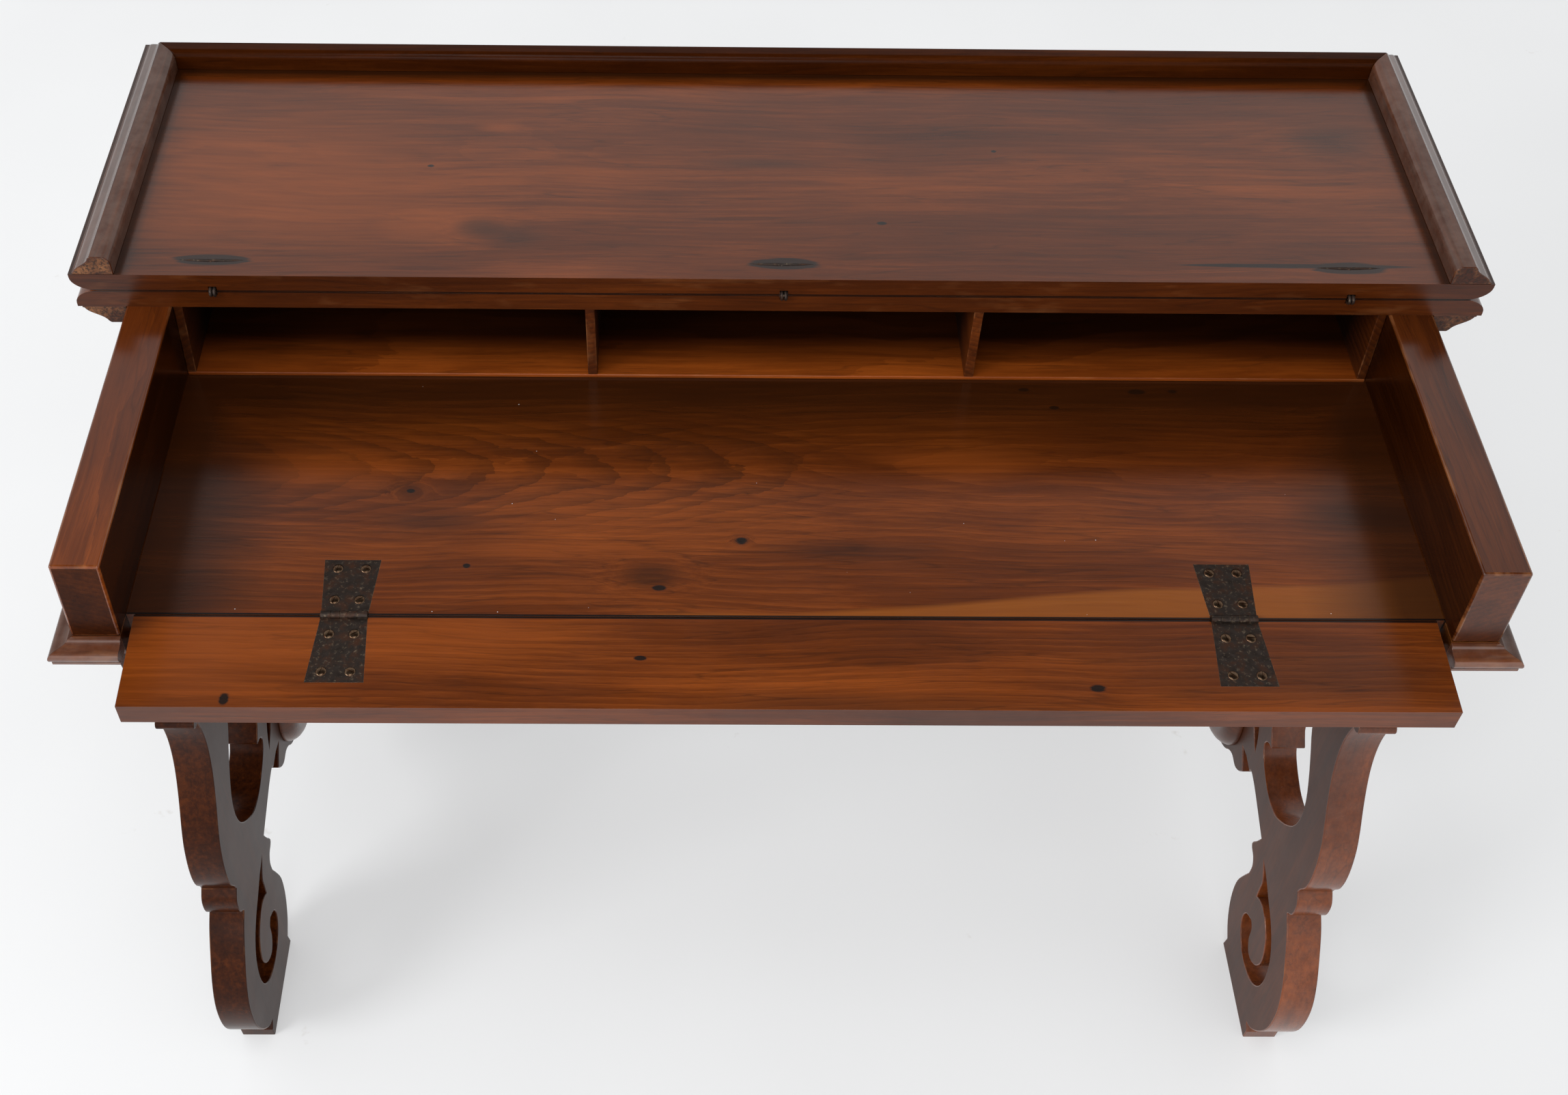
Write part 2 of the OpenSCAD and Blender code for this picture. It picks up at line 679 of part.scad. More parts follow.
left_trestle();
right_trestle();
left_cleat();
right_cleat();
stretcher();
writing_board();
left_side();
right_side();
back_board();
base_moulding_left();
base_moulding_right();
base_moulding_back();
base_moulding_returns();
pigeonhole_floor();
divider_left();
divider_right();
end_board_left();
end_board_right();
fixed_top();
top_moulding_left();
top_moulding_right();
top_moulding_back();
loop_hinge_fixed_eyes();
loop_hinge_pins();
strap_hinge_left_board_leaf();
strap_hinge_right_board_leaf();
strap_hinge_pins();
board_leaf_screws();
lid_board();
lid_moulding_left();
lid_moulding_right();
lid_moulding_front();
loop_hinge_lid_eyes();
flap_board();
strap_hinge_left_flap_leaf();
strap_hinge_right_flap_leaf();
flap_leaf_screws();
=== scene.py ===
"""Walnut writing desk on lyre trestles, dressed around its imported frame: lid folded back, flap down."""

import json
import math

import bmesh
import bpy
from bpy.props import FloatProperty, FloatVectorProperty, IntProperty, PointerProperty
from mathutils import Matrix, Vector

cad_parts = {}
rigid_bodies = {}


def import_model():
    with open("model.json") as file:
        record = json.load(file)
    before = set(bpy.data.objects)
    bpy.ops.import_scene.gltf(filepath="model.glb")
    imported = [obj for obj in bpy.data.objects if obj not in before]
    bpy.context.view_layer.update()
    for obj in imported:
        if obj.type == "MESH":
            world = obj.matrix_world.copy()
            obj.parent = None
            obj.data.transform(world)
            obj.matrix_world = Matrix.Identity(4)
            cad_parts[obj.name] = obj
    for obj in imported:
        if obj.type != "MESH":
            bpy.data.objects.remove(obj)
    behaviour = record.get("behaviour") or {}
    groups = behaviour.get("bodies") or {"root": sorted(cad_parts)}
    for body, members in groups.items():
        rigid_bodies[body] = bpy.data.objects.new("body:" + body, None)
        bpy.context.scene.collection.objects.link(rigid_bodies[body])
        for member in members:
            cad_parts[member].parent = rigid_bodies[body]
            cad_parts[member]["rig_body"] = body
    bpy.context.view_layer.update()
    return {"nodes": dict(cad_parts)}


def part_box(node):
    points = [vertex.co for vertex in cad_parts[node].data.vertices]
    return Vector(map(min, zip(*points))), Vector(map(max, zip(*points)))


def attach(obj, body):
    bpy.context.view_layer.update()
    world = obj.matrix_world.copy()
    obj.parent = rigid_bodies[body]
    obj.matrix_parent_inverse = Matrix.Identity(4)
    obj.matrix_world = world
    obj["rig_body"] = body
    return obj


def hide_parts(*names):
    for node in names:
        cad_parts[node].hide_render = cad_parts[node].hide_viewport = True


bl_info = {
    "name": "Walnut Writing Desk",
    "version": (1, 0, 0),
    "blender": (4, 5, 0),
    "location": "3D View > Sidebar > Desk",
    "description": "Dresses a trestle writing desk in polished walnut and forged iron",
    "category": "Object",
}

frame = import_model()
MM = 0.001

# Places read from the frame: the top's fold, the writing surface, the lid's upper face, the flap's seam
HALF_GAP = 0.3 * MM
FOLD_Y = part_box("lid_board")[0].y - HALF_GAP
FOLD_Z = (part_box("lid_board")[0].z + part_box("fixed_top")[1].z) / 2
SURFACE_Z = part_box("writing_board")[1].z
LID_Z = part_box("lid_board")[1].z
SEAM_Y = (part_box("strap_hinge_pins")[0].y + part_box("strap_hinge_pins")[1].y) / 2

# Ways that a face can look
FRONT, UP, DOWN, LEFT, RIGHT = (0, -1, 0), (0, 0, 1), (0, 0, -1), (-1, 0, 0), (1, 0, 0)


def linear(code):
    """An sRGB hex colour as linear red, green and blue."""
    parts = [int(code[i : i + 2], 16) / 255 for i in (1, 3, 5)]
    return tuple(c / 12.92 if c <= 0.04045 else ((c + 0.055) / 1.055) ** 2.4 for c in parts)


def colour(name, text, code):
    """A colour that a user can change."""
    return FloatVectorProperty(
        name=name, description=text, subtype="COLOR", size=3, min=0, max=1, default=linear(code)
    )


def length(name, text, mm, low, high):
    """A length that a user can change, given in mm."""
    return FloatProperty(
        name=name, description=text, subtype="DISTANCE", unit="LENGTH",
        default=mm * MM, min=low * MM, max=high * MM,
    )


def amount(name, text, value, high):
    """A level or a power that a user can change, from nothing up."""
    return FloatProperty(name=name, description=text, default=value, min=0, max=high)


class DeskWood(bpy.types.PropertyGroup):
    """Colours of the walnut."""

    # also the dirt and painted shade along the rims
    vein: colour("Veins", "Darkest streaks of the grain", "#231005")
    dark: colour("Dark wood", "Late wood of each year's ring", "#3c1703")
    middle: colour("Middle wood", "Most of the board", "#5b2807")
    # also tints the light patches, which are partly painted light
    light: colour("Light wood", "Early wood and flame figure", "#813e10")
    worn: colour("Worn edge", "Where the polish is rubbed off an edge", "#8f5c36")
    sap: colour("Sapwood", "Paler strip along the writing board's front edge", "#854915")
    # this film also stands for a painted satin sheen
    dust: colour("Dusty film", "Dry grey film on wood that is never wiped", "#a08c80")
    # also tints the dark patches, which are partly painted shade and painted shadow
    stain: colour("Iron stain", "Where iron has blackened the wood", "#14100e")
    rings: length("Ring spacing", "Width of one year's ring", 6.0, 3, 15)


class DeskIron(bpy.types.PropertyGroup):
    """Colours and sizes of the hinges and screws."""

    iron: colour("Forged iron", "Hammered face of the hinges", "#352c27")
    rust: colour("Rust", "Brown film in the dents", "#4c2e1e")
    rubbed: colour("Rubbed iron", "Edges that hands and cloths keep bright", "#94826c")
    screw: colour("Screw", "Rubbed head of a screw", "#6a5644")
    slot_w: length("Slot width", "Width of a screw's slot", 0.9, 0.4, 1.5)
    slot_d: length("Slot depth", "Depth of a screw's slot", 0.7, 0.2, 1.0)
    seed: IntProperty(name="Slot turn", description="Which way each slot happens to point", default=7, min=0)


class DeskStudio(bpy.types.PropertyGroup):
    """Floor and light."""

    floor: colour("Floor", "Seamless paper under the desk", "#f3f4f5")
    scuff: colour("Shoe marks", "Faint marks on the paper", "#b5ab9c")
    lift: amount("Whitening", "Level of the whitened paper", 0.92, 1)
    beyond: amount("Background", "Level of what shows past the paper", 0.86, 1)
    sky: amount("Fill light", "Level of the even light from all round", 0.8, 2)
    walls: amount("White walls", "Level of the walls that the polish reflects", 0.95, 2)
    lamp: amount("Lamp power", "Power in watts of which each soft lamp has its share", 60, 500)


class DeskSettings(bpy.types.PropertyGroup):
    """Everything that a user would change."""

    wood: PointerProperty(type=DeskWood)
    iron: PointerProperty(type=DeskIron)
    studio: PointerProperty(type=DeskStudio)
    easing: length("Edge easing", "How far wear has rounded a sharp edge", 1.4, 0.2, 4)


def settings():
    """The desk's settings in the open scene."""
    return bpy.context.scene.writing_desk


def rgba(rgb, level=1.0):
    """A colour, darkened to a level, as a shader takes it."""
    return (*(c * level for c in rgb), 1.0)


def fill(tree, node, inputs):
    """Fills a node's inputs with numbers or with other nodes' sockets."""
    for key, value in inputs.items():
        if isinstance(value, bpy.types.Node):
            value = value.outputs[0]
        if isinstance(value, bpy.types.NodeSocket):
            tree.links.new(value, node.inputs[key])
        else:
            node.inputs[key].default_value = value


def add(tree, kind, inputs=None, **values):
    """Adds a node, sets its values and fills its inputs."""
    node = tree.nodes.new(kind)
    for key, value in values.items():
        setattr(node, key, value)
    fill(tree, node, inputs or {})
    return node


def shader(name):
    """A new material, its nodes and its Principled node."""
    mat = bpy.data.materials.new(name)
    mat.use_nodes = True
    return mat, mat.node_tree, mat.node_tree.nodes["Principled BSDF"]


def merged(tree, operation, masks):
    """Several masks made into one."""
    level, *rest = masks
    for mask in rest:
        level = add(tree, "ShaderNodeMath", {0: level, 1: mask}, operation=operation)
    return level


def weighed(tree, parts, start):
    """The start plus each part's distance from one half, times its weight."""
    level = start
    for value, weight in parts:
        centred = add(tree, "ShaderNodeMath", {0: value, 1: 0.5}, operation="SUBTRACT")
        level = add(tree, "ShaderNodeMath", {0: centred, 1: weight, 2: level}, operation="MULTIPLY_ADD")
    return level


def drawn_noise(
    tree, vector, count, detail=2.0, roughness=0.5, stretch=(1, 1, 1), offset=(0, 0, 0), shown="Fac"
):
    """Noise with so many features a metre, drawn out along any axis whose stretch is under 1."""
    drawn = add(tree, "ShaderNodeMapping", {"Vector": vector, "Scale": stretch, "Location": offset})
    inputs = {"Vector": drawn, "Scale": count, "Detail": detail, "Roughness": roughness}
    return add(tree, "ShaderNodeTexNoise", inputs).outputs[shown]


def tinted(tree, body, tint, mask, span=(0.0, 1.0), share=(0.0, 1.0)):
    """A colour with a tint over it, of which share shows at either end of the mask's span."""
    much = add(tree, "ShaderNodeMapRange", {"Value": mask, 1: span[0], 2: span[1], 3: share[0], 4: share[1]})
    return add(tree, "ShaderNodeMix", {0: much, 6: body, 7: tint}, data_type="RGBA").outputs[2]


def near(tree, place, x, y, across, along):
    """1 at a point of a board, falling to 0 at an ellipse round it."""
    off = add(tree, "ShaderNodeVectorMath", {0: place, 1: (x, y, 0)}, operation="SUBTRACT")
    flat = add(tree, "ShaderNodeVectorMath", {0: off, 1: (1 / along, 1 / across, 0)}, operation="MULTIPLY")
    far = add(tree, "ShaderNodeVectorMath", {0: flat}, operation="LENGTH").outputs["Value"]
    fall = {"Value": far, 1: 0.0, 2: 1.0, 3: 1.0, 4: 0.0}
    return add(tree, "ShaderNodeMapRange", fall, interpolation_type="SMOOTHSTEP")


# Turns that bring the grain's direction onto X
GRAIN = {"X": (0, 0, 0), "Y": (0, 0, -math.pi / 2), "Z": (0, math.pi / 2, 0)}


def along_grain(tree, place, grain, knots, seed):
    """Coordinates whose X runs along the grain: first straight, then as the grain wanders."""
    turned = add(tree, "ShaderNodeMapping", {"Vector": place, "Rotation": GRAIN[grain]}).outputs[0]
    # over about 400 mm it strays up to 20 mm to each side
    wander = drawn_noise(
        tree, turned, 4.5, stretch=(0.5, 1, 1), offset=(seed * 3.1, seed * 1.7, 0), shown="Color"
    )
    sway = add(tree, "ShaderNodeVectorMath", {0: wander, 1: (0.5, 0.5, 0.5)}, operation="SUBTRACT")
    drift = add(tree, "ShaderNodeVectorMath", {0: sway, 1: (0.0, 0.045, 0.045)}, operation="MULTIPLY")
    bent = add(tree, "ShaderNodeVectorMath", {0: turned, 1: drift}, operation="ADD")
    if knots:
        # and it rises 12 mm round a knot
        swell = merged(tree, "MAXIMUM", [near(tree, place, *knot) for knot in knots])
        rise = add(tree, "ShaderNodeMath", {0: swell, 1: 12 * MM}, operation="MULTIPLY")
        push = add(tree, "ShaderNodeCombineXYZ", {"Z": rise})
        bent = add(tree, "ShaderNodeVectorMath", {0: bent, 1: push}, operation="ADD")
    return turned, bent


def year_rings(tree, bent, pith, tilt):
    """The log's rings round its pith, which leans by tilt degrees to the board."""
    lean = math.radians(tilt)
    centred = add(tree, "ShaderNodeVectorMath", {0: bent, 1: pith}, operation="SUBTRACT")
    log = {"Vector": centred, "Rotation": (0, lean, lean / 4), "Scale": (0.3, 1, 1)}
    rings = {
        "Vector": add(tree, "ShaderNodeMapping", log), "Scale": math.tau / (20 * settings().wood.rings),
        "Distortion": 2.2, "Detail": 3.0, "Detail Scale": 1.2, "Detail Roughness": 0.55,
    }
    return add(
        tree, "ShaderNodeTexWave", rings, wave_type="RINGS", rings_direction="X", wave_profile="SAW"
    ).outputs["Fac"]


def arched(tree, body, vein, bent, arches, seed):
    """Nested arches, where the saw ran out of the rings. Each darkens towards its far line. Arches gives y of
    their tips, x where they start and end, and their spacing."""
    tips, start, end, spacing = arches
    bend = 47.0
    flow = add(tree, "ShaderNodeSeparateXYZ", {"Vector": bent}).outputs
    aside = add(tree, "ShaderNodeMath", {0: flow["Y"], 1: tips}, operation="SUBTRACT")
    squared = add(tree, "ShaderNodeMath", {0: aside, 1: aside}, operation="MULTIPLY")
    curve = add(tree, "ShaderNodeMath", {0: squared, 1: bend, 2: flow["X"]}, operation="MULTIPLY_ADD")
    jag = drawn_noise(tree, bent, 38, 4.0, 0.65, (0.5, 1, 1), (seed, 4, 0))
    ragged = add(tree, "ShaderNodeMath", {0: jag, 1: spacing * 1.3, 2: curve}, operation="MULTIPLY_ADD")
    turns = add(tree, "ShaderNodeMath", {0: ragged, 1: spacing}, operation="DIVIDE")
    step = add(tree, "ShaderNodeMath", {0: turns}, operation="FRACT")
    wide = add(tree, "ShaderNodeMath", {0: aside}, operation="ABSOLUTE")
    masks = [
        add(tree, "ShaderNodeMapRange", {"Value": value, 1: low, 2: high, 3: at_low, 4: at_high})
        for value, low, high, at_low, at_high in (
            (step, 0.35, 0.97, 0.0, 0.42),
            (wide, 0.03, 0.09, 1.0, 0.0),
            (flow["X"], start, start + 0.08, 0.0, 1.0),
            (flow["X"], end - 0.1, end, 1.0, 0.0),
        )
    ]
    return tinted(tree, body, vein, merged(tree, "MULTIPLY", masks))


def sapwood(tree, body, bent, streaks):
    """The paler strip along the writing board's front edge, which widens to the right."""
    slope, half = 0.075, 6 * MM
    split = add(tree, "ShaderNodeSeparateXYZ", {"Vector": bent}).outputs
    edge = add(tree, "ShaderNodeMath", {0: split["X"], 1: slope, 2: SEAM_Y + half}, operation="MULTIPLY_ADD")
    above = add(tree, "ShaderNodeMath", {0: edge, 1: split["Y"]}, operation="SUBTRACT")
    pale = add(tree, "ShaderNodeMapRange", {"Value": above, 1: -1 * MM, 2: 4 * MM, 3: 0.0, 4: 0.85})
    fleck = add(tree, "ShaderNodeMapRange", {"Value": streaks, 1: 0.35, 2: 0.6, 3: 1.0, 4: 0.75})
    return tinted(tree, body, rgba(settings().wood.sap), merged(tree, "MULTIPLY", (pale, fleck)))


def marked(tree, body, place, streaks, marks, tint, span, most):
    """A tint in patches round some points, ragged along the grain."""
    reach = merged(tree, "MAXIMUM", [near(tree, place, *mark) for mark in marks])
    ragged = add(tree, "ShaderNodeMath", {0: streaks, 1: 0.9, 2: reach}, operation="MULTIPLY_ADD")
    return tinted(tree, body, rgba(tint), ragged, span, (0.0, most))


def shaded(tree, body, place, shade):
    """Painted shade: darker with depth inside the case, where less light reaches: y from, y to, level there.
    """
    start, end, level = shade
    depth = add(tree, "ShaderNodeSeparateXYZ", {"Vector": place}).outputs["Y"]
    return tinted(tree, body, rgba((0, 0, 0)), depth, (start, end), (0.0, 1.0 - level))


def darkened_along_rim(tree, body, vein, place, rim_dirt_and_shade):
    """Old wax and dirt caught along a raised rim, with painted shade and the rim's painted reflection: half
    width between the end rims, y of the far rim, how far it reaches from them, and how much of it there is."""
    half, far, reach, most = rim_dirt_and_shade
    inside = add(tree, "ShaderNodeSeparateXYZ", {"Vector": place}).outputs
    flank = add(tree, "ShaderNodeMath", {0: inside["X"]}, operation="ABSOLUTE")
    beyond = add(tree, "ShaderNodeMath", {0: flank, 1: half}, operation="SUBTRACT")
    past = add(tree, "ShaderNodeMath", {0: inside["Y"], 1: far}, operation="SUBTRACT")
    rim = merged(tree, "MAXIMUM", (beyond, past))
    return tinted(tree, body, vein, rim, (-reach, -reach / 4), (0.0, most))


def cracked(tree, body, place, joint):
    """Black dirt packed in the crack between two boards: axis, place on it, half width."""
    axis, middle, half = joint
    inside = add(tree, "ShaderNodeSeparateXYZ", {"Vector": place}).outputs[axis]
    gap = add(tree, "ShaderNodeMath", {0: inside, 1: middle}, operation="SUBTRACT")
    off = add(tree, "ShaderNodeMath", {0: gap}, operation="ABSOLUTE")
    return tinted(tree, body, rgba(settings().wood.stain, 0.3), off, (half * 0.7, half), (0.95, 0.0))


def specked(tree, body, place):
    """Specks of dust under a millimetre wide, in about half of the cells 19 mm across."""
    cells = add(tree, "ShaderNodeTexVoronoi", {"Vector": place, "Scale": 52.0}).outputs
    speck = {"Value": cells["Distance"], 1: 0.01, 2: 0.024, 3: 0.8, 4: 0.0}
    some = add(tree, "ShaderNodeMath", {0: cells["Color"], 1: 0.5}, operation="GREATER_THAN")
    lit = merged(tree, "MULTIPLY", (add(tree, "ShaderNodeMapRange", speck), some))
    return tinted(tree, body, rgba(settings().studio.floor), lit)


def walnut(
    name, grain="X", pith=(0.0, 0.0, 0.0), tilt=3.0, level=1.0, tone=0.0, figure=1.0, mottle=0.0,
    rough=0.2, gloss=0.5, bump=1.0, worn=0.0, dust_and_sheen=0.0, knots=(), spots=(), stains=(), pale_and_lit=(),
    dirt_and_shade=(), arches=None, shade=None, rim_dirt_and_shade=None, joint=None, sap=False, dust=False, seed=0,
):
    """Walnut heartwood, planed and wax polished, a few hundred years old: rings cut into arches, long soft
    bands and thin dark lines along the grain, pores that show as short dashes, and a smooth sheen."""
    mat, tree, out = shader(name)
    wood = settings().wood
    vein = rgba(wood.vein, level)
    place = add(tree, "ShaderNodeTexCoord").outputs["Object"]
    turned, bent = along_grain(tree, place, grain, knots, seed)
    # clouds 110 mm wide, bands 24 mm, streaks 4 mm, pores 1 mm, each drawn out along the grain
    clouds = drawn_noise(tree, bent, 9, 3.0, 0.55, (0.3, 1, 1), (0, 0, seed * 2.3))
    bands = drawn_noise(tree, bent, 42, 3.0, 0.6, (0.07, 1, 1), (seed, seed, 0))
    streaks = drawn_noise(tree, bent, 230, 4.0, 0.6, (0.035, 1, 1), (seed, 0, 0))
    pores = drawn_noise(tree, bent, 900, 2.0, 0.6, (0.05, 1, 1), (0, seed, 0))
    parts = [
        (year_rings(tree, bent, pith, tilt), 0.3 * figure), (clouds, 1.0), (bands, 0.6), (streaks, 0.6),
        (pores, 0.35),
    ]
    if mottle:
        # speckle 5 mm wide, as where a curve is cut across the grain
        parts.append((drawn_noise(tree, place, 210, 5.0, 0.72, offset=(seed, 1, 2)), mottle))
    ramp = add(tree, "ShaderNodeValToRGB", {"Fac": weighed(tree, parts, 0.5 + tone)})
    stops = ramp.color_ramp.elements
    stops[0].position, stops[0].color = 0.1, rgba(wood.dark, level)
    stops[1].position, stops[1].color = 0.92, rgba(wood.light, level)
    stops.new(0.5).color = rgba(wood.middle, level)
    # long thin lines where a wavering field passes one half
    field = drawn_noise(tree, bent, 34, 3.0, 0.55, (0.05, 1, 1), (seed * 1.3, 0, seed))
    away = add(tree, "ShaderNodeMath", {0: field, 1: 0.5}, operation="SUBTRACT")
    off = add(tree, "ShaderNodeMath", {0: away}, operation="ABSOLUTE")
    body = tinted(tree, ramp.outputs["Color"], vein, off, (0.0, 0.01), (0.32, 0.0))
    body = tinted(tree, body, vein, pores, (0.58, 0.74), (0.0, 0.35))
    if arches:
        body = arched(tree, body, vein, bent, arches, seed)
    if sap:
        body = sapwood(tree, body, bent, streaks)
    for marks, tint, span, most in (
        # paler wood, partly painted light from the lamp on the left
        (pale_and_lit, wood.light, (0.6, 1.5), 0.5),
        # dirt, partly painted shade and painted shadow
        (dirt_and_shade, wood.stain, (0.6, 1.5), 0.5),
        (knots, wood.vein, (0.9, 1.4), 0.6),
        (spots, wood.stain, (0.7, 1.0), 0.95),
        (stains, wood.stain, (0.62, 0.78), 0.9),
    ):
        if marks:
            body = marked(tree, body, place, streaks, marks, tint, span, most)
    if worn:
        rubbed = drawn_noise(tree, turned, 60, 3.0, 0.6, (0.3, 1, 1), (seed, 0, seed))
        span = (0.62 - worn / 3, 0.8 - worn / 3)
        body = tinted(tree, body, rgba(wood.worn), rubbed, span, (0.0, worn))
    # a grey film of dust, partly a painted satin sheen
    if dust_and_sheen:
        film = drawn_noise(tree, place, 70, 4.0, 0.65, offset=(seed, 2, 0))
        body = tinted(tree, body, rgba(wood.dust), film, (0.36, 0.64), (dust_and_sheen * 0.35, dust_and_sheen))
    if shade:
        body = shaded(tree, body, place, shade)
    if rim_dirt_and_shade:
        body = darkened_along_rim(tree, body, vein, place, rim_dirt_and_shade)
    if joint:
        body = cracked(tree, body, place, joint)
    if dust:
        body = specked(tree, body, place)
    # the wax is duller in patches 45 mm wide, over a surface that planing left slightly wavy
    wax = drawn_noise(tree, place, 22, 3.0, 0.6)
    sheen = {"Value": wax, 1: 0.3, 2: 0.7, 3: rough - 0.01, 4: rough + 0.02}
    ripple = drawn_noise(tree, place, 14, 1.0)
    wave = add(tree, "ShaderNodeBump", {"Strength": 0.2, "Distance": 0.5 * MM, "Height": ripple})
    open_pores = {"Strength": 0.2 * bump, "Distance": 0.15 * MM, "Height": pores, "Normal": wave}
    fill(tree, out, {
        "Base Color": body, "Roughness": add(tree, "ShaderNodeMapRange", sheen),
        "Normal": add(tree, "ShaderNodeBump", open_pores), "IOR": 1.5, "Specular IOR Level": gloss,
    })
    return mat


def end_grain(name, seed=0):
    """Walnut cut across the grain and left to weather: dry and ragged, with dark pores and no polish."""
    mat, tree, out = shader(name)
    wood = settings().wood
    place = add(tree, "ShaderNodeTexCoord").outputs["Object"]
    pits = drawn_noise(tree, place, 420, 4.0, 0.7, offset=(seed, 0, 0))
    patch = drawn_noise(tree, place, 45, 3.0, 0.6, offset=(0, seed, 0))
    body = tinted(tree, rgba(wood.dark), rgba(wood.worn, 0.7), patch, (0.4, 0.62))
    body = tinted(tree, body, rgba(wood.vein), pits, (0.46, 0.6), (0.0, 0.9))
    ragged = add(tree, "ShaderNodeBump", {"Strength": 0.6, "Distance": 0.8 * MM, "Height": pits})
    fill(tree, out, {
        "Base Color": body, "Normal": ragged, "Roughness": 0.55, "Specular IOR Level": 0.3,
    })
    return mat


def forged_iron():
    """Wrought iron, hammered while hot and left black: shallow dents 6 mm apart, a film of brown rust in
    them, and lighter rubbed patches that also serve as a painted glint."""
    mat, tree, out = shader("forged_iron_hammered_black")
    iron = settings().iron
    place = add(tree, "ShaderNodeTexCoord").outputs["Object"]
    film = drawn_noise(tree, place, 90, 4.0, 0.65)
    glint = drawn_noise(tree, place, 300, 4.0, 0.7)
    body = tinted(tree, rgba(iron.iron), rgba(iron.rust), film, (0.48, 0.68), (0.0, 0.85))
    # rubbed iron, partly a painted glint
    body = tinted(tree, body, rgba(iron.rubbed), glint, (0.56, 0.7), (0.0, 0.5))
    dull = {"Value": film, 1: 0.3, 2: 0.7, 3: 0.36, 4: 0.62}
    scale = drawn_noise(tree, place, 900)
    fine = add(tree, "ShaderNodeBump", {"Strength": 0.3, "Distance": 0.2 * MM, "Height": scale})
    dents = add(
        tree, "ShaderNodeTexVoronoi", {"Vector": place, "Scale": 170.0, "Smoothness": 1.0},
        feature="SMOOTH_F1",
    ).outputs["Distance"]
    deep = {"Strength": 0.8, "Distance": 1.2 * MM, "Height": dents, "Normal": fine}
    fill(tree, out, {
        "Base Color": body, "Roughness": add(tree, "ShaderNodeMapRange", dull),
        "Normal": add(tree, "ShaderNodeBump", deep), "Metallic": 0.75,
    })
    return mat


def rubbed_iron(name, bright):
    """Iron, filed and rubbed bright where it stands proud, brown in its hollows: a small sharp glint."""
    mat, tree, out = shader(name)
    place = add(tree, "ShaderNodeTexCoord").outputs["Object"]
    film = drawn_noise(tree, place, 420, 3.0, 0.6)
    body = tinted(tree, rgba(bright), rgba(settings().iron.rust), film, (0.42, 0.66), (0.0, 0.8))
    fine = add(tree, "ShaderNodeBump", {"Strength": 0.3, "Distance": 0.2 * MM, "Height": film})
    fill(tree, out, {"Base Color": body, "Normal": fine, "Metallic": 1.0, "Roughness": 0.3})
    return mat


def studio_paper():
    """Seamless photographic paper: matt, evenly pale, with a few faint shoe marks."""
    whitened = 0.42
    mat, tree, out = shader("studio_paper_matt")
    studio = settings().studio
    place = add(tree, "ShaderNodeTexCoord").outputs["Object"]
    uneven = drawn_noise(tree, place, 1.3, 3.0)
    marks = drawn_noise(tree, place, 9, 5.0, 0.72, offset=(3, 0, 0))
    body = tinted(tree, rgba(studio.floor), rgba(studio.floor, 0.96), uneven, (0.35, 0.7))
    body = tinted(tree, body, rgba(studio.scuff), marks, (0.68, 0.76), (0.0, 0.35))
    fill(tree, out, {"Base Color": body, "Roughness": 0.9, "Specular IOR Level": 0.1})
    # Seen directly or in a reflection, the paper is partly lit from within, as in a picture whose
    # background was whitened: the shadow stays, only weaker, and the desk gets no more light.
    ray = add(tree, "ShaderNodeLightPath").outputs
    seen = merged(tree, "MAXIMUM", [ray[f"Is {kind} Ray"] for kind in ("Camera", "Glossy", "Transmission")])
    share = add(tree, "ShaderNodeMath", {0: seen, 1: whitened}, operation="MULTIPLY")
    white = add(tree, "ShaderNodeEmission", {"Color": body, "Strength": studio.lift})
    both = add(tree, "ShaderNodeMixShader", {0: share, 1: out, 2: white})
    fill(tree, tree.nodes["Material Output"], {"Surface": both})
    return mat


def link(name, data):
    """A new object in the scene."""
    obj = bpy.data.objects.new(name, data)
    bpy.context.scene.collection.objects.link(obj)
    return obj


def meshed(name, bm):
    """A bmesh as a mesh of its own."""
    mesh = bpy.data.meshes.new(name)
    bm.to_mesh(mesh)
    bm.free()
    return mesh


def baked(obj):
    """Applies an object's modifiers to its mesh."""
    depsgraph = bpy.context.evaluated_depsgraph_get()
    mesh = bpy.data.meshes.new_from_object(
        obj.evaluated_get(depsgraph), preserve_all_data_layers=True, depsgraph=depsgraph
    )
    obj.modifiers.clear()
    obj.data = mesh


def clean_copy(node):
    """A bmesh of a CAD node with its triangles joined into flat faces."""
    bm = bmesh.new()
    bm.from_mesh(frame["nodes"][node].data)
    bmesh.ops.remove_doubles(bm, verts=bm.verts, dist=0.002 * MM)
    bmesh.ops.dissolve_limit(bm, angle_limit=math.radians(0.6), verts=bm.verts, edges=bm.edges)
    bm.normal_update()
    return bm


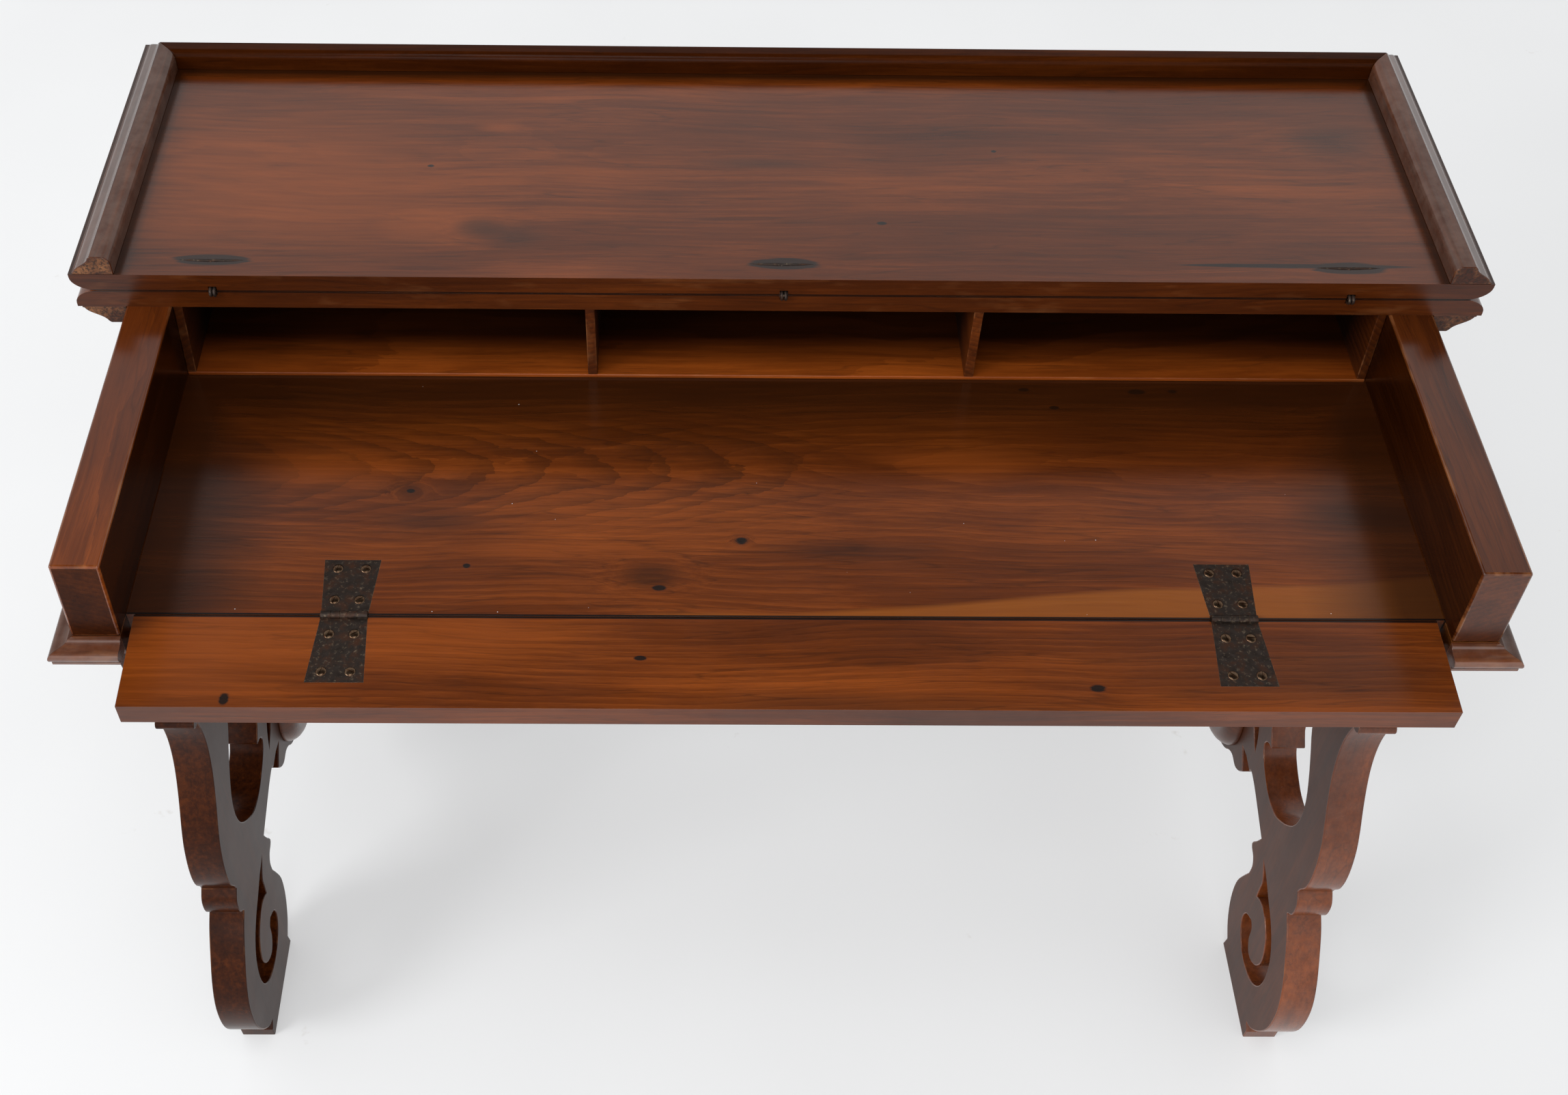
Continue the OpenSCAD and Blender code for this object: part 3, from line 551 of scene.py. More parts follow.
def eased(node, name, wood, edge=None, *, slot, width=None, segments=2, sides=()):
    """Stands for a CAD node: the same shape with its sharp edges worn round, in its own wood. Each pair in
    sides is a direction and the material of the flat faces that look that way."""
    within = 0.97  # cosine of 14 degrees
    bm = clean_copy(node)
    for face in bm.faces:
        face.smooth = True
        face.material_index = 0
        for number, (way, _) in enumerate(sides):
            if face.normal.dot(Vector(way)) > within:
                face.material_index = 2 + number
    obj = link(name, meshed(name, bm))
    for mat in (wood, edge or wood, *(mat for _, mat in sides)):
        obj.data.materials.append(mat)
    bevel = obj.modifiers.new("Worn edges", "BEVEL")
    bevel.width = settings().easing if width is None else width
    bevel.segments = segments
    bevel.limit_method = "ANGLE"
    bevel.angle_limit = math.radians(40)
    bevel.material = 1
    # each corner shades like its largest face, so flat boards mirror flat and only their worn edges turn
    level = obj.modifiers.new("Flat faces", "WEIGHTED_NORMAL")
    level.mode = "FACE_AREA"
    level.weight = 60
    baked(obj)
    body = frame["nodes"][node]["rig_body"]
    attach(obj, body)
    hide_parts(node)


# The photograph's camera, solved from the desk's own edges: pixels of a picture 2296 wide, angles in
# radians, and its place in metres, with y from the top's fold
PHOTO_W, PHOTO_H = 2296, 1604
FOCAL, CENTRE_X, CENTRE_Y = 2682.9, 1037.62, 577.01
YAW, PITCH, ROLL = 0.0174, 0.823, 0.0191
VIEWER_X, VIEWER_Y, VIEWER_Z = -0.08387, -1.14873, 1.92203

# Soft lamps: place in metres, side of the square, share of the lamp power
SOFTBOXES = {
    "top_softbox": ((-0.35, -0.95, 3.1), 1.0, 0.25),
    "left_softbox": ((-3.6, -2.1, 3.1), 1.65, 1.6),
    "front_softbox": ((-0.4, -4.2, 2.0), 1.8, 0.55),
}
LAMP_AIM = Vector((0, 0, 0.6))
PAPER_HALF = 25


def place_camera(scene):
    """The photograph's view. Its centre lies off the middle of the picture, so the lens is shifted."""
    camera = bpy.data.cameras.new("camera")
    camera.sensor_fit = "HORIZONTAL"
    camera.sensor_width = 36.0
    camera.lens = FOCAL * camera.sensor_width / PHOTO_W
    camera.shift_x = (PHOTO_W / 2 - CENTRE_X) / PHOTO_W
    camera.shift_y = (CENTRE_Y - PHOTO_H / 2) / PHOTO_W
    camera.clip_end = 100
    flat = math.cos(PITCH)
    ahead = Vector((math.sin(YAW) * flat, math.cos(YAW) * flat, -math.sin(PITCH)))
    level = Vector((math.cos(YAW), -math.sin(YAW), 0))
    upward = level.cross(ahead)
    right = math.cos(ROLL) * level + math.sin(ROLL) * upward
    up = -math.sin(ROLL) * level + math.cos(ROLL) * upward
    turn = Matrix((right, up, -ahead)).transposed().to_4x4()
    viewer = link("camera", camera)
    viewer.matrix_world = Matrix.Translation((VIEWER_X, FOLD_Y + VIEWER_Y, VIEWER_Z)) @ turn
    scene.camera = viewer


def lay_paper():
    """The floor."""
    bm = bmesh.new()
    bmesh.ops.create_grid(bm, x_segments=1, y_segments=1, size=PAPER_HALF)
    floor = link("floor", meshed("floor", bm))
    floor.data.materials.append(studio_paper())


def light_world(scene):
    """White walls up to 44 degrees, dark above 53: what the polish shows in the photograph. The fill comes
    more from the walls than from overhead, so that it reaches the floor under the desk."""
    studio = settings().studio
    world = bpy.data.worlds.new("white_studio_dark_ceiling")
    scene.world = world
    world.use_nodes = True
    tree = world.node_tree
    ray = add(tree, "ShaderNodeLightPath").outputs
    around = add(tree, "ShaderNodeTexCoord").outputs["Generated"]
    height = add(tree, "ShaderNodeSeparateXYZ", {"Vector": around}).outputs["Z"]
    walls = add(tree, "ShaderNodeMapRange", {"Value": height, 1: 0.69, 2: 0.8, 3: studio.walls, 4: 0.0})
    soft = add(
        tree, "ShaderNodeMapRange",
        {"Value": height, 1: 0.0, 2: 1.0, 3: studio.sky * 1.45, 4: studio.sky * 0.78},
    )
    seen = merged(tree, "MAXIMUM", (ray["Is Camera Ray"], ray["Is Transmission Ray"]))
    even = add(tree, "ShaderNodeMapRange", {"Value": seen, 1: 0.0, 2: 1.0, 3: soft, 4: studio.beyond})
    strength = add(tree, "ShaderNodeMix", {0: ray["Is Glossy Ray"], 2: even, 3: walls}, data_type="FLOAT")
    fill(tree, tree.nodes["Background"], {"Color": (1.0, 1.0, 1.0, 1.0), "Strength": strength})


def hang_lamps():
    """The soft lamps, which no camera sees."""
    for name, (where, side, share) in SOFTBOXES.items():
        lamp = bpy.data.lights.new(name, "AREA")
        lamp.shape = "SQUARE"
        lamp.size = side
        lamp.energy = settings().studio.lamp * share
        holder = link(name, lamp)
        holder.visible_camera = False
        holder.location = where
        holder.rotation_euler = (LAMP_AIM - Vector(where)).to_track_quat("-Z", "Y").to_euler()


class WRITINGDESK_OT_stage(bpy.types.Operator):
    """Floor, soft lamps, and the camera at the photograph's viewing angle"""

    bl_idname = "writingdesk.stage"
    bl_label = "Studio"

    def execute(self, context):
        context.scene.view_settings.view_transform = "Standard"
        place_camera(context.scene)
        lay_paper()
        light_world(context.scene)
        hang_lamps()
        return {"FINISHED"}


# Marks on the large boards, in metres: x, y, reach across the grain, reach along it
SURFACE_KNOTS = ((-0.113, -0.218, 0.03, 0.06), (-0.322, -0.126, 0.018, 0.03), (-0.037, -0.18, 0.01, 0.015))
SURFACE_SPOTS = (
    (-0.267, -0.208, 0.004, 0.006), (-0.037, -0.18, 0.006, 0.007), (0.224, -0.003, 0.004, 0.009),
    (0.327, -0.005, 0.006, 0.014), (0.36, -0.004, 0.004, 0.007), (0.249, -0.025, 0.004, 0.007),
    (-0.106, -0.23, 0.005, 0.01), (-0.322, -0.127, 0.004, 0.007),
)
# Light patches are partly paler wood, partly painted light from the lamp on the left
SURFACE_PALE_AND_LIT = ((-0.4, -0.1, 0.05, 0.12), (0.16, -0.09, 0.03, 0.12), (-0.2, -0.19, 0.02, 0.14))
# Dark patches are partly dirt, partly painted shade
SURFACE_DIRT_AND_SHADE = ((0.5, -0.15, 0.03, 0.1), (0.05, -0.19, 0.02, 0.12), (-0.3, -0.16, 0.02, 0.08))
FLAP_SPOTS = ((-0.446, -0.341, 0.009, 0.007), (0.244, -0.327, 0.006, 0.012), (-0.12, -0.3, 0.004, 0.008))
FLAP_PALE_AND_LIT = ((-0.46, -0.3, 0.11, 0.2), (-0.3, -0.28, 0.05, 0.24))
# On the flap the first dark patch is the painted shadow that the left side casts on its corner
FLAP_DIRT_AND_SHADE = ((-0.545, -0.268, 0.035, 0.05), (0.42, -0.31, 0.06, 0.24), (0.05, -0.345, 0.025, 0.25))
LID_KNOTS = ((-0.269, 0.07, 0.03, 0.05),)
LID_SPOTS = ((0.089, 0.079, 0.004, 0.008), (-0.32, 0.153, 0.003, 0.005), (0.2, 0.18, 0.003, 0.004))
LID_PALE_AND_LIT = ((-0.31, 0.075, 0.05, 0.14), (-0.45, 0.13, 0.2, 0.26), (-0.26, 0.21, 0.014, 0.04))
LID_DIRT_AND_SHADE = ((0.52, 0.2, 0.05, 0.08), (-0.24, 0.06, 0.03, 0.05), (-0.02, 0.16, 0.015, 0.1))

# Where dirt gathers, with painted shade and the painted reflection of the raised rims beside it: round the
# lid's panel inside its rim, and on the writing board between the sides
LID_RIM_DIRT_AND_SHADE = (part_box("lid_moulding_right")[0].x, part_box("lid_moulding_front")[0].y, 14 * MM, 0.85)
SURFACE_RIM_DIRT_AND_SHADE = (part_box("right_side")[0].x, FOLD_Y + 5 * MM, 0.11, 0.8)
# Cracks: between the board and the flap, and between the two halves of the top
SEAM = ("Y", SEAM_Y, 2.4 * MM)
FOLD = ("Z", FOLD_Z, 1.4 * MM)


def islands(node):
    """The lowest and highest corner of each separate solid in a CAD node."""
    bm = clean_copy(node)
    left = set(bm.verts)
    boxes = []
    while left:
        group = [left.pop()]
        todo = list(group)
        while todo:
            for edge in todo.pop().link_edges:
                for vert in edge.verts:
                    if vert in left:
                        left.remove(vert)
                        group.append(vert)
                        todo.append(vert)
        boxes.append([[pick(v.co[i] for v in group) for i in range(3)] for pick in (min, max)])
    bm.free()
    return sorted(boxes)


def iron_stains():
    """Black stains on the lid: over each loop hinge's clenched ends, and a long streak near the fold."""
    across, along = 11 * MM, 46 * MM
    ends = [((lo[0] + hi[0]) / 2, hi[1], across, along) for lo, hi in islands("loop_hinge_lid_eyes")]
    return ends + [(0.45, FOLD_Y + 22 * MM, 4 * MM, 0.16)]


def board_looks():
    """The wood of each large board's own face. The pith is where the log's middle ran."""
    return {
        "writing_board": dict(
            pith=(0, -0.09, SURFACE_Z - 0.07), tilt=6, figure=0.45, knots=SURFACE_KNOTS, spots=SURFACE_SPOTS,
            pale_and_lit=SURFACE_PALE_AND_LIT, dirt_and_shade=SURFACE_DIRT_AND_SHADE, arches=(-0.1, -0.5, 0.08, 0.055),
            # the writing board is painted darker towards the back, as painted shade under the top
            shade=(-0.11, FOLD_Y, 0.9), rim_dirt_and_shade=SURFACE_RIM_DIRT_AND_SHADE, joint=SEAM, sap=True, dust=True, seed=1,
        ),
        "flap_board": dict(
            pith=(0, -0.42, SURFACE_Z - 0.05), tilt=2, figure=0.6, tone=0.06, spots=FLAP_SPOTS,
            pale_and_lit=FLAP_PALE_AND_LIT, dirt_and_shade=FLAP_DIRT_AND_SHADE, joint=SEAM, seed=2,
        ),
        "fixed_top": dict(pith=(0, 0.1, FOLD_Z - 0.1), tilt=2, figure=0.5, level=0.7, seed=3),
        "lid_board": dict(
            pith=(0, 0.19, LID_Z - 0.11), tilt=3, figure=0.25, level=0.85, knots=LID_KNOTS, spots=LID_SPOTS,
            pale_and_lit=LID_PALE_AND_LIT, dirt_and_shade=LID_DIRT_AND_SHADE, rim_dirt_and_shade=LID_RIM_DIRT_AND_SHADE, stains=iron_stains(), seed=4,
        ),
    }


# The boards' faces towards the sitter, which are darker than their own faces
BOARD_FRONTS = {
    "writing_board": dict(level=0.6),
    "flap_board": dict(level=0.7, dust_and_sheen=0.02, gloss=0.3),
    "fixed_top": dict(level=0.5, joint=FOLD, gloss=0.25, worn=0.15),
    "lid_board": dict(level=0.5, joint=FOLD, gloss=0.25, worn=0.15),
}


class WRITINGDESK_OT_boards(bpy.types.Operator):
    """Writing board, flap, fixed top and lid"""

    bl_idname = "writingdesk.boards"
    bl_label = "Boards"

    def execute(self, context):
        looks = board_looks()
        for node, look in looks.items():
            wood = walnut(f"walnut_{node}", **look)
            edge = walnut(f"walnut_{node}_edge", **{**look, "worn": 0.6, "rim_dirt_and_shade": None})
            front = walnut(f"walnut_{node}_front", figure=0.3, seed=30, rough=0.32, **BOARD_FRONTS[node])
            sides = [(FRONT, front)]
            if node == "lid_board":
                # dirt, painted shade, painted light and stains lie only inside its rim: the outer face and
                # the edges match the fixed half
                outer = walnut("walnut_lid_outside", **{**looks["fixed_top"], "seed": 31})
                sides += [(UP, wood), (DOWN, outer)]
                wood = outer
            eased(node, f"{node}_planed", wood, edge, slot="walnut_boards", sides=sides)
        return {"FINISHED"}


# Sides of the case: which way is inward, level and gloss of the top and of the front end, seed
CASE_SIDES = {
    # the left top is painted lighter than the right, as painted light from the lamp on the left
    "left_side": (RIGHT, dict(level=0.95), dict(level=0.3, gloss=0.05), 5),
    "right_side": (LEFT, dict(level=0.45), dict(level=0.5, gloss=0.35), 6),
}
# Boards round the pigeonholes, painted dark as the shade inside them; the floor is painted lighter, as
# painted light where light falls on its front
PIGEONHOLES = {
    "pigeonhole_floor": dict(tone=0.1, seed=8, rough=0.35, figure=0.5, level=1.5),
    "divider_left": dict(grain="Y", level=0.6, seed=9, rough=0.4),
    "divider_right": dict(grain="Y", level=0.6, seed=10, rough=0.4),
    "end_board_left": dict(grain="Y", level=0.35, seed=11, rough=0.4),
    "end_board_right": dict(grain="Y", level=0.35, seed=12, rough=0.4),
}


class WRITINGDESK_OT_case(bpy.types.Operator):
    """Sides, back and pigeonholes"""

    bl_idname = "writingdesk.case"
    bl_label = "Case"

    def execute(self, context):
        for node, (inward, top, end, seed) in CASE_SIDES.items():
            look = dict(grain="Y", pith=(0, inward[0] * 0.62, 0.6), tilt=2, figure=0.5, seed=seed)
            wood = walnut(f"walnut_{node}", **top, **look)
            edge = walnut(f"walnut_{node}_edge", worn=0.45, **top, **look)
            # the inward face is painted dark and darker towards the back, as painted shade inside the case
            inner = walnut(f"walnut_{node}_inner", level=0.2, gloss=0.15, shade=(-0.15, 0.1, 0.4), **look)
            cut = walnut(f"walnut_{node}_front", rough=0.3, **end, **look)
            eased(
                node, f"{node}_planed", wood, edge, width=2.2 * MM, segments=3, slot="walnut_sides",
                sides=((inward, inner), (FRONT, cut)),
            )
        back = walnut("walnut_back_board", level=0.7, seed=7)
        # its inner face is painted near black, as painted shade deep in the case
        deep = walnut("walnut_back_board_inner", level=0.15, seed=7, rough=0.4, gloss=0.2)
        eased("back_board", "back_board_planed", back, slot="walnut_sides", sides=((FRONT, deep),))
        for node, look in PIGEONHOLES.items():
            # darker with depth, as painted shade
            look = dict(look, gloss=0.25, shade=(FOLD_Y + 8 * MM, FOLD_Y + 55 * MM, 0.1))
            wood = walnut(f"walnut_{node}", **look)
            edge = walnut(f"walnut_{node}_edge", worn=0.4, **look)
            front = walnut(f"walnut_{node}_front", worn=0.2, **look)
            eased(
                node, f"{node}_planed", wood, edge, width=0.9 * MM, slot="walnut_inside",
                sides=((FRONT, front),),
            )
        return {"FINISHED"}


# Which wood each run of moulding is made of: by its grain, or one of its own
MOULDINGS = {
    "base_moulding_left": "Y", "base_moulding_right": "Y", "base_moulding_back": "X",
    "base_moulding_returns": "base", "top_moulding_left": "Y", "top_moulding_right": "Y",
    "top_moulding_back": "X", "lid_moulding_left": "Y", "lid_moulding_right": "Y",
    "lid_moulding_front": "rim",
}
# Runs whose ends were sawn off square at the fold, and left bare
SAWN_OFF = ("top_moulding_left", "top_moulding_right", "lid_moulding_left", "lid_moulding_right")


class WRITINGDESK_OT_mouldings(bpy.types.Operator):
    """Base mouldings, mouldings under the top, and the lid's rim"""

    bl_idname = "writingdesk.mouldings"
    bl_label = "Mouldings"

    def execute(self, context):
        woods = {}
        for grain in "XY":
            look = dict(
                grain=grain, pith=(0, 0, 0.5), tilt=1, level=0.45, figure=0.3, mottle=0.25, gloss=0.4, seed=13
            )
            wood = walnut(f"walnut_moulding_{grain}", dust_and_sheen=0.12, **look)
            woods[grain] = (wood, walnut(f"walnut_moulding_{grain}_edge", worn=0.25, **look))
        returns = walnut(
            "walnut_base_returns", level=0.65, dust_and_sheen=0.1, worn=0.35, figure=0.3, gloss=1.0, mottle=0.3,
            seed=21,
        )
        # the rim is painted dark, as painted shade on its inner face
        rim = walnut("walnut_rim_back", level=0.3, figure=0.3, gloss=0.05, mottle=0.2, seed=22)
        woods.update(base=(returns, returns), rim=(rim, rim))
        sawn = end_grain("walnut_end_grain_worn", 3)
        for node, kind in MOULDINGS.items():
            ends = ((FRONT, sawn),) if node in SAWN_OFF else ()
            eased(node, f"{node}_run", *woods[kind], width=0.7 * MM, slot="walnut_mouldings", sides=ends)
        return {"FINISHED"}


# Trestles: level of the flat sides, look of the sawn edges, seed. The left one stands in the darker light.
TRESTLES = {
    "left": (0.25, dict(level=0.3, gloss=0.12), dict(mottle=1.5), 14),
    "right": (0.4, dict(level=0.95, gloss=0.45), dict(mottle=0.45, dust_and_sheen=0.05), 15),
}


class WRITINGDESK_OT_trestles(bpy.types.Operator):
    """Lyre trestles, cleats and turned stretcher"""

    bl_idname = "writingdesk.trestles"
    bl_label = "Trestles"

    def execute(self, context):
        for side, (flat, cut, speckle, seed) in TRESTLES.items():
            look = dict(grain="Z", figure=0.15, bump=0.3, seed=seed)
            wood = walnut(f"walnut_{side}_trestle", level=flat, dust_and_sheen=0.02, gloss=0.12, rough=0.36, **look)
            edge = walnut(f"walnut_{side}_trestle_edge", worn=0.3, **cut, **look)
            sawn = walnut(f"walnut_{side}_trestle_edges", rough=0.26, **cut, **speckle, **look)
            eased(
                f"{side}_trestle", f"{side}_trestle_sawn", sawn, edge, width=2.0 * MM, segments=3,
                slot="walnut_trestles", sides=((RIGHT, wood), (LEFT, wood)),
            )
            plain = walnut(f"walnut_{side}_cleat", grain="Y", tone=-0.02, seed=seed + 3, rough=0.5)
            eased(f"{side}_cleat", f"{side}_cleat_planed", plain, slot="walnut_inside")
        turned = walnut("walnut_stretcher", tilt=1, level=0.5, figure=0.3, seed=20, rough=0.28, gloss=0.4)
        eased("stretcher", "stretcher_turned", turned, width=0.8 * MM, slot="walnut_trestles")
        return {"FINISHED"}


def dress_pins(node, metal):
    """Gives the pins of a set of hinges, which are shown as they are in the frame, their metal."""
    materials = frame["nodes"][node].data.materials
    materials.clear()
    materials.append(metal)


class WRITINGDESK_OT_strap_hinges(bpy.types.Operator):
    """Strap hinges between the writing board and the flap"""

    bl_idname = "writingdesk.strap_hinges"
    bl_label = "Strap hinges"

    def execute(self, context):
        iron = forged_iron()
        rubbed = rubbed_iron("iron_edge_rubbed", settings().iron.rubbed)
        for side in ("left", "right"):
            for part in ("board", "flap"):
                node = f"strap_hinge_{side}_{part}_leaf"
                eased(node, f"{node}_forged", iron, rubbed, width=0.5 * MM, slot="forged_iron")
        dress_pins("strap_hinge_pins", iron)
        return {"FINISHED"}


def screw_tree():
    """Geometry Nodes: a slotted, domed screw on every point, each slot turned its own way."""
    tree = bpy.data.node_groups.new("slotted_screws", "GeometryNodeTree")
    face = tree.interface
    face.new_socket("Geometry", in_out="INPUT", socket_type="NodeSocketGeometry")
    for name in ("Head Radius", "Head Height", "Shank Radius", "Shank Length", "Slot Width", "Slot Depth"):
        face.new_socket(name, in_out="INPUT", socket_type="NodeSocketFloat")
    face.new_socket("Seed", in_out="INPUT", socket_type="NodeSocketInt")
    face.new_socket("Material", in_out="INPUT", socket_type="NodeSocketMaterial")
    face.new_socket("Geometry", in_out="OUTPUT", socket_type="NodeSocketGeometry")
    given = add(tree, "NodeGroupInput").outputs
    radius, height, shank = given["Head Radius"], given["Head Height"], given["Shank Length"]
    # the head: a ball pressed flat
    ball = add(tree, "GeometryNodeMeshUVSphere", {"Segments": 24, "Rings": 12, "Radius": radius})
    squash = add(tree, "ShaderNodeMath", {0: height, 1: radius}, operation="DIVIDE")
    flat = add(tree, "ShaderNodeCombineXYZ", {"X": 1.0, "Y": 1.0, "Z": squash})
    dome = add(tree, "GeometryNodeTransform", {"Geometry": ball.outputs["Mesh"], "Scale": flat})
    # the slot: a bar across it, centred on the top
    long = add(tree, "ShaderNodeMath", {0: radius, 1: 3.0}, operation="MULTIPLY")
    double = add(tree, "ShaderNodeMath", {0: given["Slot Depth"], 1: 2.0}, operation="MULTIPLY")
    bar = add(tree, "ShaderNodeCombineXYZ", {"X": long, "Y": given["Slot Width"], "Z": double})
    cutter = add(tree, "GeometryNodeMeshCube", {"Size": bar}).outputs["Mesh"]
    lift = add(tree, "ShaderNodeCombineXYZ", {"Z": height})
    blade = add(tree, "GeometryNodeTransform", {"Geometry": cutter, "Translation": lift})
    head = add(tree, "GeometryNodeMeshBoolean", {0: dome, 1: blade}, operation="DIFFERENCE", solver="FLOAT")
    # the shank below the head
    thin = {"Vertices": 16, "Radius": given["Shank Radius"], "Depth": shank}
    stem = add(tree, "GeometryNodeMeshCylinder", thin).outputs["Mesh"]
    half = add(tree, "ShaderNodeMath", {0: shank, 1: -0.5}, operation="MULTIPLY")
    drop = add(tree, "ShaderNodeCombineXYZ", {"Z": half})
    low = add(tree, "GeometryNodeTransform", {"Geometry": stem, "Translation": drop})
    both = add(tree, "GeometryNodeJoinGeometry")
    for piece in (head, low):
        tree.links.new(piece.outputs[0], both.inputs[0])
    turn = add(
        tree, "FunctionNodeRandomValue", {"Max": (0.0, 0.0, math.tau), "Seed": given["Seed"]},
        data_type="FLOAT_VECTOR",
    )
    places = {"Points": given["Geometry"], "Instance": both, "Rotation": turn}
    spread = add(tree, "GeometryNodeInstanceOnPoints", places)
    real = add(tree, "GeometryNodeRealizeInstances", {"Geometry": spread})
    dressed = add(tree, "GeometryNodeSetMaterial", {"Geometry": real, "Material": given["Material"]})
    add(tree, "NodeGroupOutput", {"Geometry": dressed})
    return tree


class WRITINGDESK_OT_screws(bpy.types.Operator):
    """Slotted screws in the strap hinges"""

    bl_idname = "writingdesk.screws"
    bl_label = "Screws"

    def execute(self, context):
        iron = settings().iron
        metal = rubbed_iron("steel_screw_rubbed", iron.screw)
        tree = screw_tree()
        for node in ("board_leaf_screws", "flap_leaf_screws"):
            boxes = islands(node)
            lo, hi = boxes[0]
            sizes = {
                "Head Radius": (hi[0] - lo[0]) / 2, "Head Height": hi[2] - SURFACE_Z,
                "Shank Radius": 1.7 * MM, "Shank Length": SURFACE_Z - lo[2] - 0.2 * MM,
                "Slot Width": iron.slot_w, "Slot Depth": iron.slot_d, "Seed": iron.seed, "Material": metal,
            }
            points = [((a[0] + b[0]) / 2, (a[1] + b[1]) / 2, SURFACE_Z) for a, b in boxes]
            mesh = bpy.data.meshes.new(node)
            mesh.from_pydata(points, [], [])
            obj = link(f"{node}_slotted", mesh)
            maker = obj.modifiers.new("Screws", "NODES")
            maker.node_group = tree
            for item in tree.interface.items_tree:
                if item.in_out == "INPUT" and item.name in sizes:
                    maker[item.identifier] = sizes[item.name]
            baked(obj)
            obj.data.shade_smooth()
            obj.data.set_sharp_from_angle(angle=math.radians(40))
            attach(obj, frame["nodes"][node]["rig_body"])
            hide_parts(node)
        return {"FINISHED"}


def ring(bm, centre, radius, thick, turns=28, sides=12):
    """A closed ring of round wire about the X direction."""
    rows = []
    for i in range(turns):
        a = math.tau * i / turns
        out = Vector((0, math.cos(a), math.sin(a)))
        rows.append([
            bm.verts.new(centre + out * (radius + thick * math.cos(b)) + Vector((thick * math.sin(b), 0, 0)))
            for b in (math.tau * k / sides for k in range(sides))
        ])
    for i in range(turns):
        for k in range(sides):
            j, m = (i + 1) % turns, (k + 1) % sides
            bm.faces.new((rows[i][k], rows[j][k], rows[j][m], rows[i][m]))


def rod(bm, path, radii, sides=12):
    """A round, closed bar along a path, with a radius at each point."""
    rows = []
    for i, point in enumerate(path):
        way = (path[min(i + 1, len(path) - 1)] - path[max(i - 1, 0)]).normalized()
        across = way.cross(Vector(UP) if abs(way.z) < 0.9 else Vector(RIGHT)).normalized()
        other = way.cross(across)
        rows.append([
            bm.verts.new(point + radii[i] * (math.cos(b) * across + math.sin(b) * other))
            for b in (math.tau * k / sides for k in range(sides))
        ])
    for i in range(len(path) - 1):
        for k in range(sides):
            m = (k + 1) % sides
            bm.faces.new((rows[i][k], rows[i][m], rows[i + 1][m], rows[i + 1][k]))
    bm.faces.new(list(reversed(rows[0])))
    bm.faces.new(rows[-1])


# Loop hinges, in mm: the eye and its wire, the shank by distance from the eye's middle and radius, and each
# clenched end by distance along the board, height above its face, and radius
EYE_R, WIRE_R = 3.4, 1.4
SHANK_FROM, SHANK_NECK = (3.6, 1.3), (8.0, 1.35)
CLENCHED = ((0.0, -0.3, 1.2), (3.0, 0.1, 1.2), (10.0, 0.0, 1.1), (20.0, -0.1, 0.9), (30.0, -0.6, 0.4))


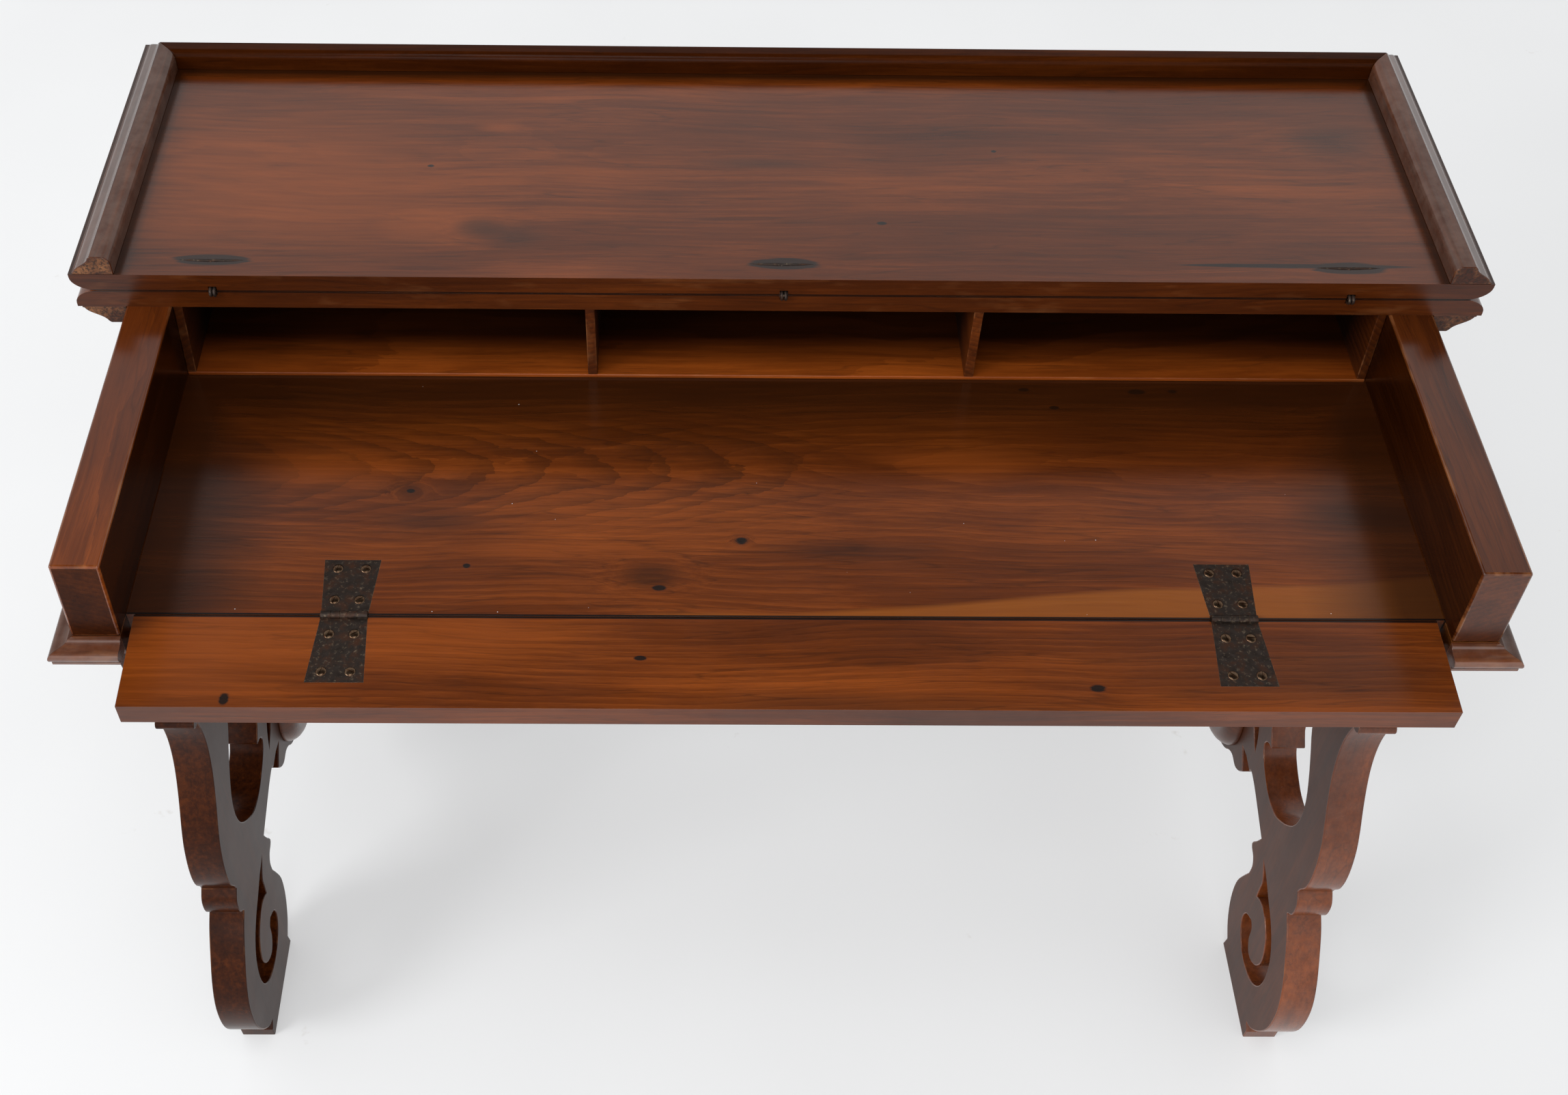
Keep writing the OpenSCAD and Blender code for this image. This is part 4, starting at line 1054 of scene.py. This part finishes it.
def loops(name, node, body, rise, face_z, metal):
    """Rings and shanks for one side of the loop hinges, with their ends clenched flat along the board."""
    bm = bmesh.new()
    for lo, hi in islands(node):
        middle = Vector(((lo[0] + hi[0]) / 2, FOLD_Y, FOLD_Z))
        ring(bm, middle, EYE_R * MM, WIRE_R * MM)
        away = Vector((0, 1, rise)).normalized()
        through = middle + away * (abs(face_z - FOLD_Z) / abs(away.z))
        shank = [middle + away * far * MM for far, _ in (SHANK_FROM, SHANK_NECK)] + [through]
        rod(bm, shank, [r * MM for r in (SHANK_FROM[1], SHANK_NECK[1], CLENCHED[0][2])])
        for side in (-1, 1):
            ends = [through + Vector((side * d, 0.4 + 0.02 * d, rise * h)) * MM for d, h, _ in CLENCHED]
            rod(bm, ends, [r * MM for _, _, r in CLENCHED])
    bmesh.ops.recalc_face_normals(bm, faces=bm.faces)
    for face in bm.faces:
        face.smooth = True
    obj = link(name, meshed(name, bm))
    obj.data.materials.append(metal)
    obj.data.set_sharp_from_angle(angle=math.radians(50))
    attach(obj, body)
    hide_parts(node)


class WRITINGDESK_OT_loop_hinges(bpy.types.Operator):
    """Loop hinges between the fixed top and the lid"""

    bl_idname = "writingdesk.loop_hinges"
    bl_label = "Loop hinges"

    def execute(self, context):
        iron = bpy.data.materials["forged_iron_hammered_black"]
        loops("loop_hinges_lid", "loop_hinge_lid_eyes", "lid", 1, LID_Z, iron)
        loops("loop_hinges_top", "loop_hinge_fixed_eyes", "desk", -1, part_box("fixed_top")[0].z, iron)
        dress_pins("loop_hinge_pins", bpy.data.materials["steel_screw_rubbed"])
        return {"FINISHED"}


OPERATORS = (
    WRITINGDESK_OT_stage, WRITINGDESK_OT_boards, WRITINGDESK_OT_case, WRITINGDESK_OT_mouldings,
    WRITINGDESK_OT_trestles, WRITINGDESK_OT_strap_hinges, WRITINGDESK_OT_screws, WRITINGDESK_OT_loop_hinges,
)


class WRITINGDESK_PT_panel(bpy.types.Panel):
    """Lists the desk's sizes, colours and pieces"""

    bl_idname = "WRITINGDESK_PT_panel"
    bl_label = "Writing desk"
    bl_space_type = "VIEW_3D"
    bl_region_type = "UI"
    bl_category = "Desk"

    def draw(self, context):
        desk = context.scene.writing_desk
        self.layout.prop(desk, "easing")
        for group in (desk.wood, desk.iron, desk.studio):
            box = self.layout.box()
            for key in group.__annotations__:
                box.prop(group, key)
        for operator in OPERATORS:
            self.layout.operator(operator.bl_idname)


CLASSES = (DeskWood, DeskIron, DeskStudio, DeskSettings, *OPERATORS, WRITINGDESK_PT_panel)


def register():
    for cls in CLASSES:
        bpy.utils.register_class(cls)
    bpy.types.Scene.writing_desk = PointerProperty(type=DeskSettings)


def unregister():
    del bpy.types.Scene.writing_desk
    for cls in reversed(CLASSES):
        bpy.utils.unregister_class(cls)


def main():
    register()
    for operator in OPERATORS:
        group, name = operator.bl_idname.split(".")
        getattr(getattr(bpy.ops, group), name)()


if __name__ == "__main__":
    main()
